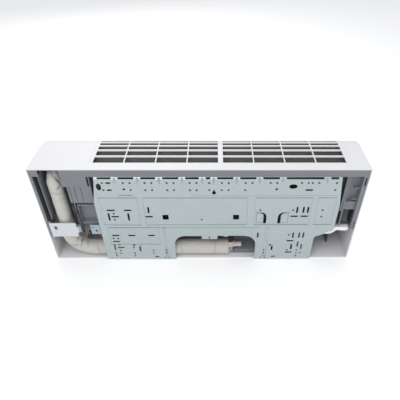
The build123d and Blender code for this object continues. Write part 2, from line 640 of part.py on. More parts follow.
# ================================================================ drain pan and outlet frame
def make_drain_pan():
    """Trough under the front slab, whose underside is the duct's upper wall."""
    rear, front = PAN_FRONT - PAN_WIDTH, PAN_FRONT
    rim, foot = 96, 78
    trough = outline((rear, foot + 6), (rear, rim), (rear + PAN_WALL, rim), (rear + PAN_WALL, foot + PAN_WALL),
                     (front - PAN_WALL, foot + PAN_WALL), (front - PAN_WALL, rim), (front, rim), (front, foot),
                     (rear + PAN_WALL, foot))
    reach = OUTLET_LENGTH - OUTLET_FRONT_LAND
    top_end = outlet_point(reach - 0.5, SHELL + CASE_FIT)
    top_back = outlet_point(reach + 2.2, SHELL + CASE_FIT)
    duct_roof = outline((rear - 5.5, foot + 6), (rear - 5.5, foot + 9), (rear, foot + 12),
                        (rear + PAN_WALL, foot + 12), (rear + PAN_WALL, foot + 4), top_back, top_end)
    pan = along_x(trough + duct_roof, DUCT_LEFT + 0.3, DUCT_RIGHT - 0.3)
    end = outline((rear + PAN_WALL, foot + 2), (rear + PAN_WALL, foot + 10.5), (front - 0.5, foot + 10.5),
                  (front - 0.5, foot + 1))
    pan += along_x(end, DUCT_LEFT + 0.3, DUCT_LEFT + 3)
    pan += along_x(end, DUCT_RIGHT - 3, DUCT_RIGHT - 0.3)
    pan += rod_x(DUCT_RIGHT - 2, DUCT_RIGHT + 17, DRAIN_SPOUT, 4.0)
    pan -= rod_x(DUCT_RIGHT - 4, DUCT_RIGHT + 18, DRAIN_SPOUT, 2.8)
    return pan


# ================================================================ louver and vanes
def louver_axis():
    return outlet_point(OUTLET_REAR_LAND + LOUVER_GAP + LOUVER_AXIS_ALONG, LOUVER_AXIS_IN)


def make_louver():
    low = OUTLET_REAR_LAND + LOUVER_GAP
    high = OUTLET_LENGTH - OUTLET_FRONT_LAND - LOUVER_GAP
    section = outline(outlet_point(low, 0), outlet_point(high, 0), outlet_point(high, LOUVER_THICKNESS),
                      outlet_point(low + 1.5, LOUVER_THICKNESS))
    louver = along_x(section, GRILLE_LEFT + 1, GRILLE_RIGHT - 1)
    axis = louver_axis()
    arm = Pos(*axis) * Circle(LOUVER_BOSS_RADIUS)
    arm += outline(outlet_point(low + 4, 1), outlet_point(low + 28, 1), outlet_point(low + 12, 7),
                   outlet_point(low + 6, 7))
    arm &= outline(outlet_point(low + 1, 1), outlet_point(low + 40, 1), outlet_point(low + 40, 12),
                   outlet_point(low + 1, 12))
    for x in (GRILLE_LEFT + 1, sum(GRILLE_MIDDLE) / 2 - 1.5, GRILLE_RIGHT - 4):
        louver += along_x(arm, x, x + 3)
    louver += rod_x(GRILLE_RIGHT - 2, DUCT_RIGHT + WALL - 0.5, axis, LOUVER_PIN_RADIUS)
    louver += rod_x(DUCT_LEFT - WALL, GRILLE_LEFT + 2, axis, LOUVER_PIN_RADIUS)
    return louver


def make_louver_motor():
    """Stepper motor, whose shaft stands off its body's middle."""
    right = DUCT_RIGHT + WALL
    along = OUTLET_REAR_LAND + LOUVER_GAP + LOUVER_AXIS_ALONG
    centre = outlet_point(along, LOUVER_AXIS_IN + LOUVER_MOTOR_OFFSET)
    ears = Pos(*centre) * Rot(0, 0, OUTLET_NORMAL + 90) * rect(-17, 17, -3.5, 3.5)
    return rod_x(right, right + 17, centre, LOUVER_MOTOR_RADIUS) + along_x(ears, right, right + 1)


def duct_plane(x, along, above):
    """On the duct floor, with local Z standing off it and local X along the unit."""
    depth, height = duct_point(along, above)
    normal = polar((0, 0), 1.0, FLOOR_ANGLE + 90)
    return Plane(origin=(x, -depth, height), x_dir=(1, 0, 0), z_dir=(0, -normal[0], normal[1]))


def vane_positions(group):
    halves = ((GRILLE_LEFT, GRILLE_MIDDLE[0]), (GRILLE_MIDDLE[1], GRILLE_RIGHT))
    middle = sum(halves[group]) / 2
    first = middle - VANE_PITCH * (VANES_PER_GROUP - 1) / 2
    return [first + i * VANE_PITCH for i in range(VANES_PER_GROUP)]


def make_vane(x):
    plane = duct_plane(x, VANE_AXIS_ALONG, VANE_RAIL_THICKNESS + VANE_BASE_GAP)
    back, ahead = VANE_REACH
    half = VANE_THICKNESS / 2
    neck = VANE_HEIGHT - 8
    blade = Pos(0, -(back + ahead) / 2, neck / 2) * Box(VANE_THICKNESS, ahead - back, neck)
    blade += Pos(0, -ahead + (ahead + VANE_CRANK / 3) / 2, VANE_HEIGHT / 2) * \
        Box(VANE_THICKNESS, ahead + VANE_CRANK / 3, VANE_HEIGHT)
    foot = Cylinder(VANE_PIN_RADIUS + 1.2, 3, align=(Align.CENTER, Align.CENTER, Align.MIN))
    foot += Pos(0, 0, -VANE_BASE_GAP - VANE_RAIL_THICKNESS + 0.3) * Cylinder(
        VANE_PIN_RADIUS, VANE_RAIL_THICKNESS + VANE_BASE_GAP, align=(Align.CENTER, Align.CENTER, Align.MIN))
    crank = Pos(0, VANE_CRANK, neck - 1) * Cylinder(
        LINK_PIN_RADIUS, LINK_THICKNESS + 2.2, align=(Align.CENTER, Align.CENTER, Align.MIN))
    return plane * (blade + foot + crank)


def make_vane_link(group):
    positions = vane_positions(group)
    x_low, x_high = positions[0] - 4, positions[-1] + 4
    plane = duct_plane(0, VANE_AXIS_ALONG, VANE_RAIL_THICKNESS + VANE_BASE_GAP + VANE_HEIGHT - 8 + 0.3)
    link = Pos((x_low + x_high) / 2, VANE_CRANK, LINK_THICKNESS / 2) * \
        Box(x_high - x_low, 2 * LINK_HALF, LINK_THICKNESS)
    for x in positions:
        link -= Pos(x, VANE_CRANK, 0) * Cylinder(LINK_PIN_RADIUS + PIN_CLEARANCE, 20)
    return plane * link


def make_vane_rail(group):
    positions = vane_positions(group)
    x_low, x_high = positions[0] - 14, positions[-1] + 14
    plane = duct_plane(0, VANE_AXIS_ALONG, 0)
    rail = Pos((x_low + x_high) / 2, 0, VANE_RAIL_THICKNESS / 2 + 0.02) * \
        Box(x_high - x_low, 2 * VANE_RAIL_HALF, VANE_RAIL_THICKNESS - 0.04)
    for x in positions:
        rail -= Pos(x, 0, 0) * Cylinder(VANE_PIN_RADIUS + PIN_CLEARANCE, 20)
    return plane * rail


# ================================================================ fan
FAN_LEFT = DUCT_LEFT + FAN_END_GAP
FAN_RIGHT = DUCT_RIGHT - FAN_END_GAP


def make_fan():
    blades = Sketch()
    for i in range(FAN_BLADES):
        middle = (FAN_RADIUS + FAN_INNER_RADIUS) / 2
        blade = Rot(0, 0, i * 360 / FAN_BLADES) * Pos(middle, 0) * Rot(0, 0, 28) * \
            Rectangle(FAN_RADIUS - FAN_INNER_RADIUS - 0.6, FAN_BLADE_THICKNESS)
        blades += blade
    blades = Pos(*FAN_AXIS) * blades
    fan = along_x(blades, FAN_LEFT + 1, FAN_RIGHT - 1)
    pitch = (FAN_RIGHT - FAN_LEFT - FAN_DISC) / FAN_SEGMENTS
    discs = []
    for i in range(FAN_SEGMENTS + 1):
        x = FAN_LEFT + i * pitch
        disc = Circle(FAN_RADIUS)
        disc -= Circle(FAN_INNER_RADIUS - 3) if 0 < i < FAN_SEGMENTS else Circle(FAN_SHAFT_RADIUS)
        discs.append(along_x(Pos(*FAN_AXIS) * disc, x, x + FAN_DISC))
    hub = Circle(10) - Circle(FAN_SHAFT_RADIUS)
    discs.append(along_x(Pos(*FAN_AXIS) * hub, FAN_RIGHT - 22, FAN_RIGHT - 1))
    discs.append(along_x(Pos(*FAN_AXIS) * hub, FAN_LEFT + 1, FAN_LEFT + 12))
    return fan + discs


def make_shaft_left():
    return rod_x(DUCT_LEFT - 10, FAN_LEFT + 12, FAN_AXIS, FAN_SHAFT_RADIUS)


def make_bearing():
    left = DUCT_LEFT - WALL
    mount = rod_x(left - 8, DUCT_LEFT, FAN_AXIS, BEARING_RADIUS)
    return mount - rod_x(left - 9, DUCT_LEFT + 1, FAN_AXIS, FAN_SHAFT_RADIUS + 2.5)


def make_bearing_bush():
    left = DUCT_LEFT - WALL
    bush = rod_x(left - 8, DUCT_LEFT, FAN_AXIS, FAN_SHAFT_RADIUS + 2.5)
    return bush - rod_x(left - 9, DUCT_LEFT + 1, FAN_AXIS, FAN_SHAFT_RADIUS + SHAFT_CLEARANCE)


MOTOR_X = DUCT_RIGHT + WALL + MOTOR_GAP


def make_motor_shaft():
    return rod_x(FAN_RIGHT - 22, MOTOR_X + 9.5, FAN_AXIS, FAN_SHAFT_RADIUS)


def make_motor():
    motor = rod_x(MOTOR_X, MOTOR_X + MOTOR_LENGTH, FAN_AXIS, MOTOR_RADIUS)
    motor += rod_x(MOTOR_X - 4, MOTOR_X, FAN_AXIS, 13)
    return motor - rod_x(MOTOR_X - 5, MOTOR_X + 10, FAN_AXIS, FAN_SHAFT_RADIUS + SHAFT_CLEARANCE)


def make_motor_cover():
    low = DUCT_RIGHT + WALL
    high = MOTOR_X + MOTOR_LENGTH + 1
    ring = Circle(MOTOR_RADIUS + 3) - Circle(MOTOR_RADIUS)
    cover = along_x(Pos(*FAN_AXIS) * ring, low, high)
    near, far = FOOT_OUT
    for inner, outer in ((-far, -near), (near, far)):
        foot = rect(FAN_AXIS[0] - 12, FAN_AXIS[0] + 12, FAN_AXIS[1] + inner, FAN_AXIS[1] + outer)
        cover += along_x(foot, low, low + CLAMP_FOOT)
    return cover - rod_x(MOTOR_X, MOTOR_X + MOTOR_LENGTH, FAN_AXIS, MOTOR_RADIUS) - screw_holes()


# ================================================================ heat exchanger
def slab_face(line, extra=0.0):
    start, end = Vector(*line[0]), Vector(*line[1])
    along = (end - start).normalized()
    across = Vector(along.Y, -along.X) * (COIL_THICKNESS / 2 + extra)
    a, b = start - along * extra, end + along * extra
    corners = (a + across, b + across, b - across, a - across)
    return outline(*[(c.X, c.Y) for c in corners])


def tube_points(line):
    """Tube positions in the order in which the refrigerant passes them."""
    start, end = Vector(*line[0]), Vector(*line[1])
    along = (end - start).normalized()
    across = Vector(along.Y, -along.X)
    middle = (start + end) * 0.5
    count = int(((end - start).length - 2 * TUBE_EDGE) / TUBE_PITCH) + 1
    steps = [(i - (count - 1) / 2) * TUBE_PITCH for i in range(count)]
    there = [middle + along * s + across * TUBE_ROW_OFFSET for s in steps]
    back = [middle + along * s - across * TUBE_ROW_OFFSET for s in reversed(steps)]
    return [(p.X, p.Y) for p in there + back]


COIL_LEFT = DUCT_LEFT - WALL
COIL_RIGHT = DUCT_RIGHT + WALL
TUBE_END = COIL_RIGHT + COIL_PLATE + TUBE_OUT + 6   # where the slabs' first and last tubes stop


def make_fins(line):
    face = slab_face(line)
    for spot in tube_points(line):
        face -= Pos(*spot) * Circle(TUBE_RADIUS + TUBE_FIT)
    return along_x(face, COIL_LEFT + 0.1, COIL_RIGHT - 0.1)


def make_coil_plate(x_low, x_high):
    front, front_z = FRONT_COIL[1]
    top, top_z = TOP_COIL[1]
    rear, rear_z = REAR_COIL[0]
    face = slab_face(FRONT_COIL, 1) + slab_face(TOP_COIL, 4.5) + slab_face(REAR_COIL, 4)
    face += rect(front - 10, front + 8, front_z - 2, front_z + 6)
    face += outline((top - 14, top_z - 14), (rear - 2, rear_z + 2), (rear + 8, rear_z + 10), (top + 6, top_z + 6))
    for depth, height in COIL_SCREWS:
        face += rect(depth - 5.5, depth + 10, height - 7, height + 7)
    face += rect(REAR_COIL[1][0] - 2, REAR_COIL[1][0] + 16, TROUGH_FLOOR, REAR_COIL[1][1])
    for line in (FRONT_COIL, TOP_COIL, REAR_COIL):
        for spot in tube_points(line):
            face -= Pos(*spot) * Circle(TUBE_RADIUS + TUBE_FIT)
    for spot in COIL_SCREWS:
        face -= Pos(*spot) * Circle(SCREW_RADIUS + 0.05)
    return along_x(face, x_low, x_high)


def make_tubes(line):
    spots = tube_points(line)
    left = COIL_LEFT - COIL_PLATE - TUBE_OUT
    right = COIL_RIGHT + COIL_PLATE + TUBE_OUT
    edges = []
    x = right + 6
    for i, spot in enumerate(spots):
        last = i == len(spots) - 1
        end = left if x > 0 else right + (6 if last else 0)
        edges.append(Line(point(x, *spot), point(end, *spot)))
        if not last:
            following = spots[i + 1]
            gap = math.dist(spot, following)
            middle = ((spot[0] + following[0]) / 2, (spot[1] + following[1]) / 2)
            out = end - gap / 2 if end < 0 else end + gap / 2
            edges.append(ThreePointArc(point(end, *spot), point(out, *middle), point(end, *following)))
        x = end
    path = Wire([e.edges()[0] for e in edges])
    return pipe(path, TUBE_RADIUS)


# ================================================================ pipes
BUNDLE_STEP = sum(CLAMP_Z) / 2      # height at which the bundle grows thicker, behind the clamp


def bundle_path():
    return route([point(BUNDLE_X, BUNDLE_START, BUNDLE_TOP),
                  point(BUNDLE_X, BUNDLE_DEPTH, BUNDLE_TOP),
                  point(BUNDLE_X, BUNDLE_DEPTH, BUNDLE_STEP)], BUNDLE_UPPER_BEND)


def bundle_lower_path():
    return route([point(BUNDLE_X, BUNDLE_DEPTH, BUNDLE_STEP),
                  point(BUNDLE_X, BUNDLE_DEPTH, BUNDLE_HEIGHT),
                  point(BUNDLE_END, BUNDLE_DEPTH, BUNDLE_HEIGHT)], BUNDLE_LOWER_BEND)


def make_bundle():
    upper, lower = bundle_path(), bundle_lower_path()
    wrapped = pipe(upper, BUNDLE_NECK) + pipe(lower, BUNDLE_RADIUS)
    for offset, radius, length in ((GAS_OFFSET, GAS_PIPE_RADIUS, 13), (LIQUID_OFFSET, LIQUID_PIPE_RADIUS, 8)):
        wrapped += rod_x(BUNDLE_END - length, BUNDLE_END + 1, (BUNDLE_DEPTH, BUNDLE_HEIGHT + offset), radius)
    return wrapped


def make_gas_nut():
    """Flare nut at the bundle's end."""
    plane = Plane(origin=point(BUNDLE_END, BUNDLE_DEPTH, BUNDLE_HEIGHT + GAS_OFFSET),
                  x_dir=(0, -1, 0), z_dir=(-1, 0, 0))
    nut = RegularPolygon(12.0, 6, major_radius=False) - Circle(GAS_PIPE_RADIUS + NUT_FIT)
    return extrude(plane * nut, amount=12)


def make_gas_plug():
    height = BUNDLE_HEIGHT + GAS_OFFSET
    plug = rod_x(BUNDLE_END - 36, BUNDLE_END - 18, (BUNDLE_DEPTH, height), 7.0)
    plug += rod_x(BUNDLE_END - 18, BUNDLE_END - 12, (BUNDLE_DEPTH, height), 8.5)
    return plug - rod_x(BUNDLE_END - 14, BUNDLE_END - 11, (BUNDLE_DEPTH, height), GAS_PIPE_RADIUS)


def make_liquid_nut():
    plane = Plane(origin=point(BUNDLE_END - 1, BUNDLE_DEPTH, BUNDLE_HEIGHT + LIQUID_OFFSET),
                  x_dir=(0, -1, 0), z_dir=(-1, 0, 0))
    nut = Rot(0, 0, 30) * RegularPolygon(6.5, 6, major_radius=False) - Circle(LIQUID_PIPE_RADIUS + NUT_FIT)
    return extrude(plane * nut, amount=6)


def make_liquid_plug():
    height = BUNDLE_HEIGHT + LIQUID_OFFSET
    plug = rod_x(BUNDLE_END - 12, BUNDLE_END - 7, (BUNDLE_DEPTH, height), 4.6)
    return plug - rod_x(BUNDLE_END - 9, BUNDLE_END - 6, (BUNDLE_DEPTH, height), LIQUID_PIPE_RADIUS)


def make_gas_pipe():
    """From the rear slab's outer tube to the start of the wrapped bundle."""
    depth, height = tube_points(REAR_COIL)[0]
    level = BUNDLE_TOP + GAS_OFFSET
    return pipe(route([point(TUBE_END, depth, height), point(BUNDLE_X - 57, depth, height),
                       point(BUNDLE_X - 27, BUNDLE_START + 30, level), point(BUNDLE_X, BUNDLE_START + 30, level),
                       point(BUNDLE_X, BUNDLE_START, level)], 10), GAS_PIPE_RADIUS)


def make_liquid_pipe():
    """From the front slab's first tube to the start of the wrapped bundle."""
    depth, height = tube_points(FRONT_COIL)[0]
    level = BUNDLE_TOP + LIQUID_OFFSET
    return pipe(route([point(TUBE_END, depth, height), point(BUNDLE_X - 54, depth, height),
                       point(BUNDLE_X - 54, BUNDLE_START + 37, level), point(BUNDLE_X, BUNDLE_START + 37, level),
                       point(BUNDLE_X, BUNDLE_START, level)], 10), LIQUID_PIPE_RADIUS)


def make_crossover(line, tube, next_line, next_tube):
    """Carries the refrigerant from one slab to the next."""
    start, end = tube_points(line)[tube], tube_points(next_line)[next_tube]
    out = TUBE_END + 16
    return pipe(route([point(TUBE_END, *start), point(out, *start), point(out, *end),
                       point(TUBE_END, *end)], 9), TUBE_RADIUS)


def make_drain_hose():
    spout = DRAIN_SPOUT
    hose = pipe(route([point(DUCT_RIGHT + 7, *spout), point(DUCT_RIGHT + 36, *spout),
                       point(DUCT_RIGHT + 36, *HOSE_LOW), point(DUCT_RIGHT - 47, *HOSE_LOW)], 18), HOSE_RADIUS)
    return hose - rod_x(DUCT_RIGHT + 6, DUCT_RIGHT + 18, spout, 4.05)


def make_clamp():
    low, high = CLAMP_Z
    clamp = block(CLAMP_X[0], HINGE_X, *CLAMP_DEPTH, low, high)
    clamp += block(CLAMP_X[0] - 4, CLAMP_X[0] + 4, *CLAMP_DEPTH, low + 14, high - 14)
    knuckle = Cylinder(KNUCKLE, high - low, align=(Align.CENTER, Align.CENTER, Align.MIN))
    clamp += Pos(HINGE_X, -HINGE_DEPTH, low) * knuckle
    bore = Cylinder(HINGE_PIN + PIN_CLEARANCE, high - low + 4, align=(Align.CENTER, Align.CENTER, Align.MIN))
    clamp -= Pos(HINGE_X, -HINGE_DEPTH, low - 2) * bore
    return clamp - block(CLAMP_X[1] - 14.5, CLAMP_X[1] - 6.5, 0, 5, low + 24, low + 36)


def make_clamp_pin():
    low, high = CLAMP_Z
    pin = Cylinder(HINGE_PIN, high - low + 11, align=(Align.CENTER, Align.CENTER, Align.MIN))
    return Pos(HINGE_X, -HINGE_DEPTH, low - 5.5) * pin


def make_clamp_latch():
    low, high = CLAMP_Z
    return block(BAY_LEFT + 0.5, CLAMP_X[0] + 1, CLAMP_DEPTH[1], 8, low + 14, high - 14)


def make_bracket():
    left, low = DUCT_RIGHT + 4, CLAMP_Z[0]
    high = low + 33
    bracket = block(left, left + 24, 10, 11, low, high)
    bracket += block(left, left + 1, 10, 20.5, low, high)
    bracket -= rod_depth(left + 10, 5, 15, low + 12, 3)
    return bracket - rod_depth(left + 18, 5, 15, low + 24, 2)


def make_wires():
    """Two sensor leads down the channel's edge, and the two cores that come out beside the bracket."""
    wires = []
    for i in range(2):
        x = BAY_LEFT - 2 - i * WIRE_PITCH
        wires.append([point(x + 9.5, 34, 182), point(x + 9.5, 5.5, 182), point(x, 5.5, 160), point(x, 5.5, 96),
                      point(x, 16, 90)])
        x = DUCT_RIGHT + 36 + i * WIRE_PITCH
        wires.append([point(x, 14, 118), point(x, 2.8, 98), point(x + 3, 2.4, 76), point(x + 3, 2.4, 60),
                      point(x + 13, 2.4, 44)])
    return Part() + [pipe(route(wire, WIRE_BEND), WIRE_RADIUS) for wire in wires]


def make_foam():
    face = outline((15, RECESS_TOP), (55, RECESS_TOP), (57, 97), (71, 94), (104, 93), (104, 84),
                   (67, 83), (55, 88), (45, 97), (15, 97))
    return from_wall(Pos(-HALF, 0) * face, *FOAM_DEPTH)


# ================================================================ mounting plate
def tetrahedron(a, b, c, d):
    faces = [make_face(Polyline(p, q, r, close=True)) for p, q, r in ((a, b, c), (a, b, d), (a, c, d), (b, c, d))]
    return Solid(Shell([f.faces()[0] for f in faces]))


def slot(x_low, x_high, z_low, z_high):
    """A round-ended slot around the line between two points."""
    length = max(x_high - x_low, z_high - z_low)
    turn = 0 if x_high - x_low > z_high - z_low else 90
    middle = Pos((x_low + x_high) / 2, (z_low + z_high) / 2)
    return middle * Rot(0, 0, turn) * SlotOverall(length + 0.01, SLOT_WIDTH)


def rounded(face, corner, radius):
    vertex = face.vertices().sort_by_distance((corner[0], corner[1], 0))[0]
    return fillet(vertex, radius)


# The plate's outline, embossed fields and holes are drawn for a plate of this reach to the right,
# and this height, and spread with it.
DRAWN_RIGHT = 261.0
DRAWN_TOP = 270.5


def across(x):
    return x * PLATE_RIGHT / DRAWN_RIGHT


def up(height):
    return height * PLATE_TOP / DRAWN_TOP


def plate_face():
    corners = [(249, DRAWN_TOP), (261, 200), (261, PLATE_FOOT), (118, PLATE_FOOT), (118, 0.5), (72, 0.5), (72, 87.5),
               (0, 87.5), (0, 76.5), (-41, 76.5), (-41, 88.5), (-142.5, 88.5), (-142.5, 0.5), (-189, 0.5),
               (-189, PLATE_FOOT), (-296, PLATE_FOOT), (-296, 88.5), (-309, 88.5), (-343, 112), (-343.5, 190),
               (-334, DRAWN_TOP)]
    face = Sketch() + outline(*[(across(x), up(height)) for x, height in corners])
    for x, height, radius in ((72, 87.5, 28), (-142.5, 88.5, 32), (-296, 88.5, 11)):
        face = rounded(face, (across(x), up(height)), radius)
    return face + Pos(across(-63), up(88.5)) * Ellipse(6.5, 3.5)


EMBOSSED = [(-116, 142, 128, 216), (-274, -134, 128, 216), (-333, -287, 128, 216), (154, 249, 128, 216),
            (110, 242, 58, 118), (93, 100, 12, 116), (-174, -165, 12, 116), (165, 197, 216.5, 224)]
# small round holes, by height: the x of each
ROUND_HOLES = {
    261.0: [231, 182, 166, 131, 115, 79, 63, 25, 9, -21, -51, -67, -107, -123, -166, -182, -240, -256,
            -266, -281, -323],
    240.0: [231, 166, 131, 115, 79, 63, 25, 9, -21, -51, -67, -107, -323],
    176.0: [-148, -230, -304],
    165.0: [219],
    154.5: [-304],
    144.5: [219, -1],
    91.5: [-229],
    82.0: [-20],
    78.5: [233, 221],
    55.5: [221],
    45.5: [184],
    34.5: [221, 132, 97, -167, -230, -256],
    23.5: [234, 221, 184, 132, 97, -167, -256, -267],
    13.0: [234, 184, -256],
    6.0: [102, 91, -161, -171],
}
# slots, as the lowest and highest x and height of each
FLAT_SLOTS = [(211, 223, 261), (211, 223, 240), (-270, -251, 240), (214, 235, 176), (173, 192, 176),
              (207, 226, 155), (122, 141, 155), (-244, -225, 156), (-270, -251, 156), (216, 236, 89.5),
              (174, 193, 89.5), (123, 141, 89.5), (217, 237, 67.5), (209, 227, 45.5), (-244, -225, 70),
              (-244, -225, 26.5), (118, 130, 9.7), (-200, -188, 9.7)]
UPRIGHT_SLOTS = [(232, 142, 167), (183, 142, 167), (131, 167, 187), (-240, 167, 187), (-256, 167, 187),
                 (-267, 167, 187), (234, 35, 57), (167, 31, 50), (-147, 82, 100), (-188, 34, 52),
                 (-240, 80.5, 100), (-256, 80.5, 100), (-267, 80.5, 100), (-256, 47.5, 67.5),
                 (-240, 37.5, 57.5), (-267, 37.5, 57.5)]


def flap_cut(side):
    """The slit along a flap's top, which turns down and widens. The flap stays joined at its foot."""
    width, height = FLAP_SIZE
    outer = rounded(rect(0, width, 0, height), (width, height), FLAP_CORNER)
    reach = width - FLAP_GAP
    inner = rounded(rect(-1, reach, -1, height - FLAP_SLIT), (reach, height - FLAP_SLIT), FLAP_CORNER - 3)
    cut = outer - inner
    return cut if side > 0 else mirror(cut, about=Plane.YZ)


def plate_holes():
    holes = Sketch()
    for height, row in ROUND_HOLES.items():
        for x in row:
            holes += Pos(across(x), up(height)) * Circle(PLATE_HOLE)
    for low, high, height in FLAT_SLOTS:
        middle = across((low + high) / 2)
        half = (high - low) / 2
        holes += slot(middle - half, middle + half, up(height), up(height))
    for x, low, high in UPRIGHT_SLOTS:
        holes += slot(across(x), across(x), up(low), up(high))
    holes += Pos(across(241), up(249.5)) * Ellipse(6, 10)
    holes += Pos(across(-221), up(250.5)) * Ellipse(10, 6.5)
    key = Circle(4.5) + outline((-4.5, 0), (4.5, 0), (0, 10.5))
    holes += Pos(across(-32.5), up(231.5)) * key
    for x in (90, -88):
        holes += Pos(across(x), up(153)) * Rectangle(15, 15.5)
    for x, side in ((-137, -1), (-222, 1)):
        holes += Pos(across(x), up(132)) * flap_cut(side)
    return holes


def wall_screw_spots():
    return [(x, TOP / 2 + z) for x in (-WALL_SCREW_X, WALL_SCREW_X) for z in (-WALL_SCREW_Z, WALL_SCREW_Z)]


def bend_windows():
    """Openings along the bent top edge, between its gussets."""
    ends = [across(x) for x in [FLANGE_REACH[0], *sorted(BEND_GUSSETS), FLANGE_REACH[1]]]
    margin = GUSSET_HALF + 2
    low, high = WINDOW_RISE
    return [block(a + margin, b - margin, -1, FLANGE_RISE, PLATE_TOP + low, PLATE_TOP + high)
            for a, b in zip(ends, ends[1:])]


def make_mounting_plate():
    plate = from_wall(plate_face(), 0, PLATE_THICKNESS)
    raised = []
    pressed = []
    for x_low, x_high, z_low, z_high in EMBOSSED:
        x_low, x_high, z_low, z_high = across(x_low), across(x_high), up(z_low), up(z_high)
        face = rect(x_low, x_high, z_low, z_high)
        inner = rect(x_low + 0.8, x_high - 0.8, z_low + 0.8, z_high - 0.8)
        start = Plane.XZ.offset(PLATE_THICKNESS - 0.3)
        raised.append(extrude(start * face, amount=EMBOSS + 0.3, taper=45))
        pressed.append(extrude(Plane.XZ * inner, amount=EMBOSS, taper=45))
    rise = FLANGE_RISE
    flange = outline((0, PLATE_TOP - 0.01), (rise, PLATE_TOP + rise),
                     (rise + PLATE_THICKNESS * 0.707, PLATE_TOP + rise - PLATE_THICKNESS * 0.707),
                     (PLATE_THICKNESS, PLATE_TOP - PLATE_THICKNESS * 0.414), (PLATE_THICKNESS, PLATE_TOP - 3),
                     (0, PLATE_TOP - 3))
    raised.append(along_x(flange, across(FLANGE_REACH[0]), across(FLANGE_REACH[1])))
    tip = rise * 0.75
    for x in [across(gusset) for gusset in BEND_GUSSETS]:
        for shift, group in ((PLATE_THICKNESS, raised), (0.0, pressed)):
            low = point(x, shift, PLATE_TOP - GUSSET_LENGTH)
            high = point(x, tip + shift * 0.707, PLATE_TOP + tip - shift * 0.707)
            left = point(x - GUSSET_HALF, shift, PLATE_TOP - shift * 0.414)
            right = point(x + GUSSET_HALF, shift, PLATE_TOP - shift * 0.414)
            if not shift:
                low, high = low + Vector(0, 0, 1.5), high - Vector(0, -1, 1)
                left, right = left + Vector(1, 0, 0), right - Vector(1, 0, 0)
            group.append(tetrahedron(low, high, left, right))
    plate = plate + raised
    plate = plate - pressed
    plate -= from_wall(plate_holes(), -1, 8)
    plate -= bend_windows()
    for x, z in wall_screw_spots():
        plate -= rod_depth(x, -1, 8, z, WALL_SCREW_HOLE)
    return plate


# ================================================================ electrical parts
def make_box():
    outer = block(*BOX_X, *BOX_DEPTH, *BOX_Z)
    t = BOX_WALL
    box = outer - block(BOX_X[0] + t, BOX_X[1] - t, BOX_DEPTH[0] + t, BOX_DEPTH[1] + 1, BOX_Z[0] + t, BOX_Z[1] - t)
    box -= rod_x(BOX_X[0] - 1, BOX_X[0] + 5, (BOX_DEPTH[0] + 24, BOX_Z[0] + 80), 6)
    x = (BOX_X[0] + BOX_X[1]) / 2
    for z in (BOX_Z[0] + 16, BOX_Z[1] - 16):
        box += rod_depth(x, BOX_DEPTH[0] + 1, BOARD_DEPTH, z, 4)
    return box


def make_box_cover():
    depth = BOX_DEPTH[1]
    cover = block(*BOX_X, depth, depth + 1.5, *BOX_Z)
    t = BOX_WALL + 0.3
    lip = block(BOX_X[0] + t, BOX_X[1] - t, depth - 4, depth + 1, BOX_Z[0] + t, BOX_Z[1] - t)
    lip -= block(BOX_X[0] + t + 1.5, BOX_X[1] - t - 1.5, depth - 5, depth, BOX_Z[0] + t + 1.5, BOX_Z[1] - t - 1.5)
    return cover + lip


def make_board():
    low, high = BOX_Z
    left = BOX_X[0] + 12
    rear, front = BOARD_DEPTH, BOARD_DEPTH + BOARD_THICKNESS
    board = block(BOX_X[0] + 6, BOX_X[1] - 6, rear, front, low + 8, high - 8)
    board += rod_depth(left + 12, rear + 1, front + 28, high - 40, 9)
    board += block(left, left + 20, rear + 1, front + 20, low + 60, low + 84)
    board += block(left + 26, left + 44, rear + 1, front + 15, low + 58, low + 70)
    board += block(left + 26, left + 44, rear + 1, front + 15, low + 74, low + 86)
    board += block(left + 26, left + 46, rear + 1, front + 24, high - 52, high - 26)
    return board


def make_terminal_block():
    low = BOX_Z[0] + 22
    rear = BOARD_DEPTH + BOARD_THICKNESS
    middle = (BOX_X[0] + BOX_X[1]) / 2
    terminal = block(middle - 26, middle + 26, rear, rear + 24, low, low + 20)
    for i in range(5):
        x = middle - 20 + i * 10
        terminal -= block(x - 3.5, x + 3.5, rear + 18, rear + 25, low + 3, low + 17)
        terminal += rod_depth(x, rear + 12, rear + 21, low + 10, 2.4)
    return terminal


def make_screws():
    """Pan-head screws that hold the motor's clamp and the coil's end plates to the chassis."""
    group = []
    for face, side, spot in SCREWS:
        ends = sorted((face, face + side * SCREW_HEAD))
        head = rod_x(*ends, spot, SCREW_HEAD_RADIUS)
        ends = sorted((face + side * SCREW_HEAD / 2, face - side * SCREW_LENGTH))
        group.append(head + rod_x(*ends, spot, SCREW_RADIUS))
    return Part() + group


def screw_holes():
    holes = []
    for face, side, spot in SCREWS:
        holes.append(rod_x(*sorted((face - side * 12, face + side * 0.01)), spot, SCREW_RADIUS + 0.05))
    return holes


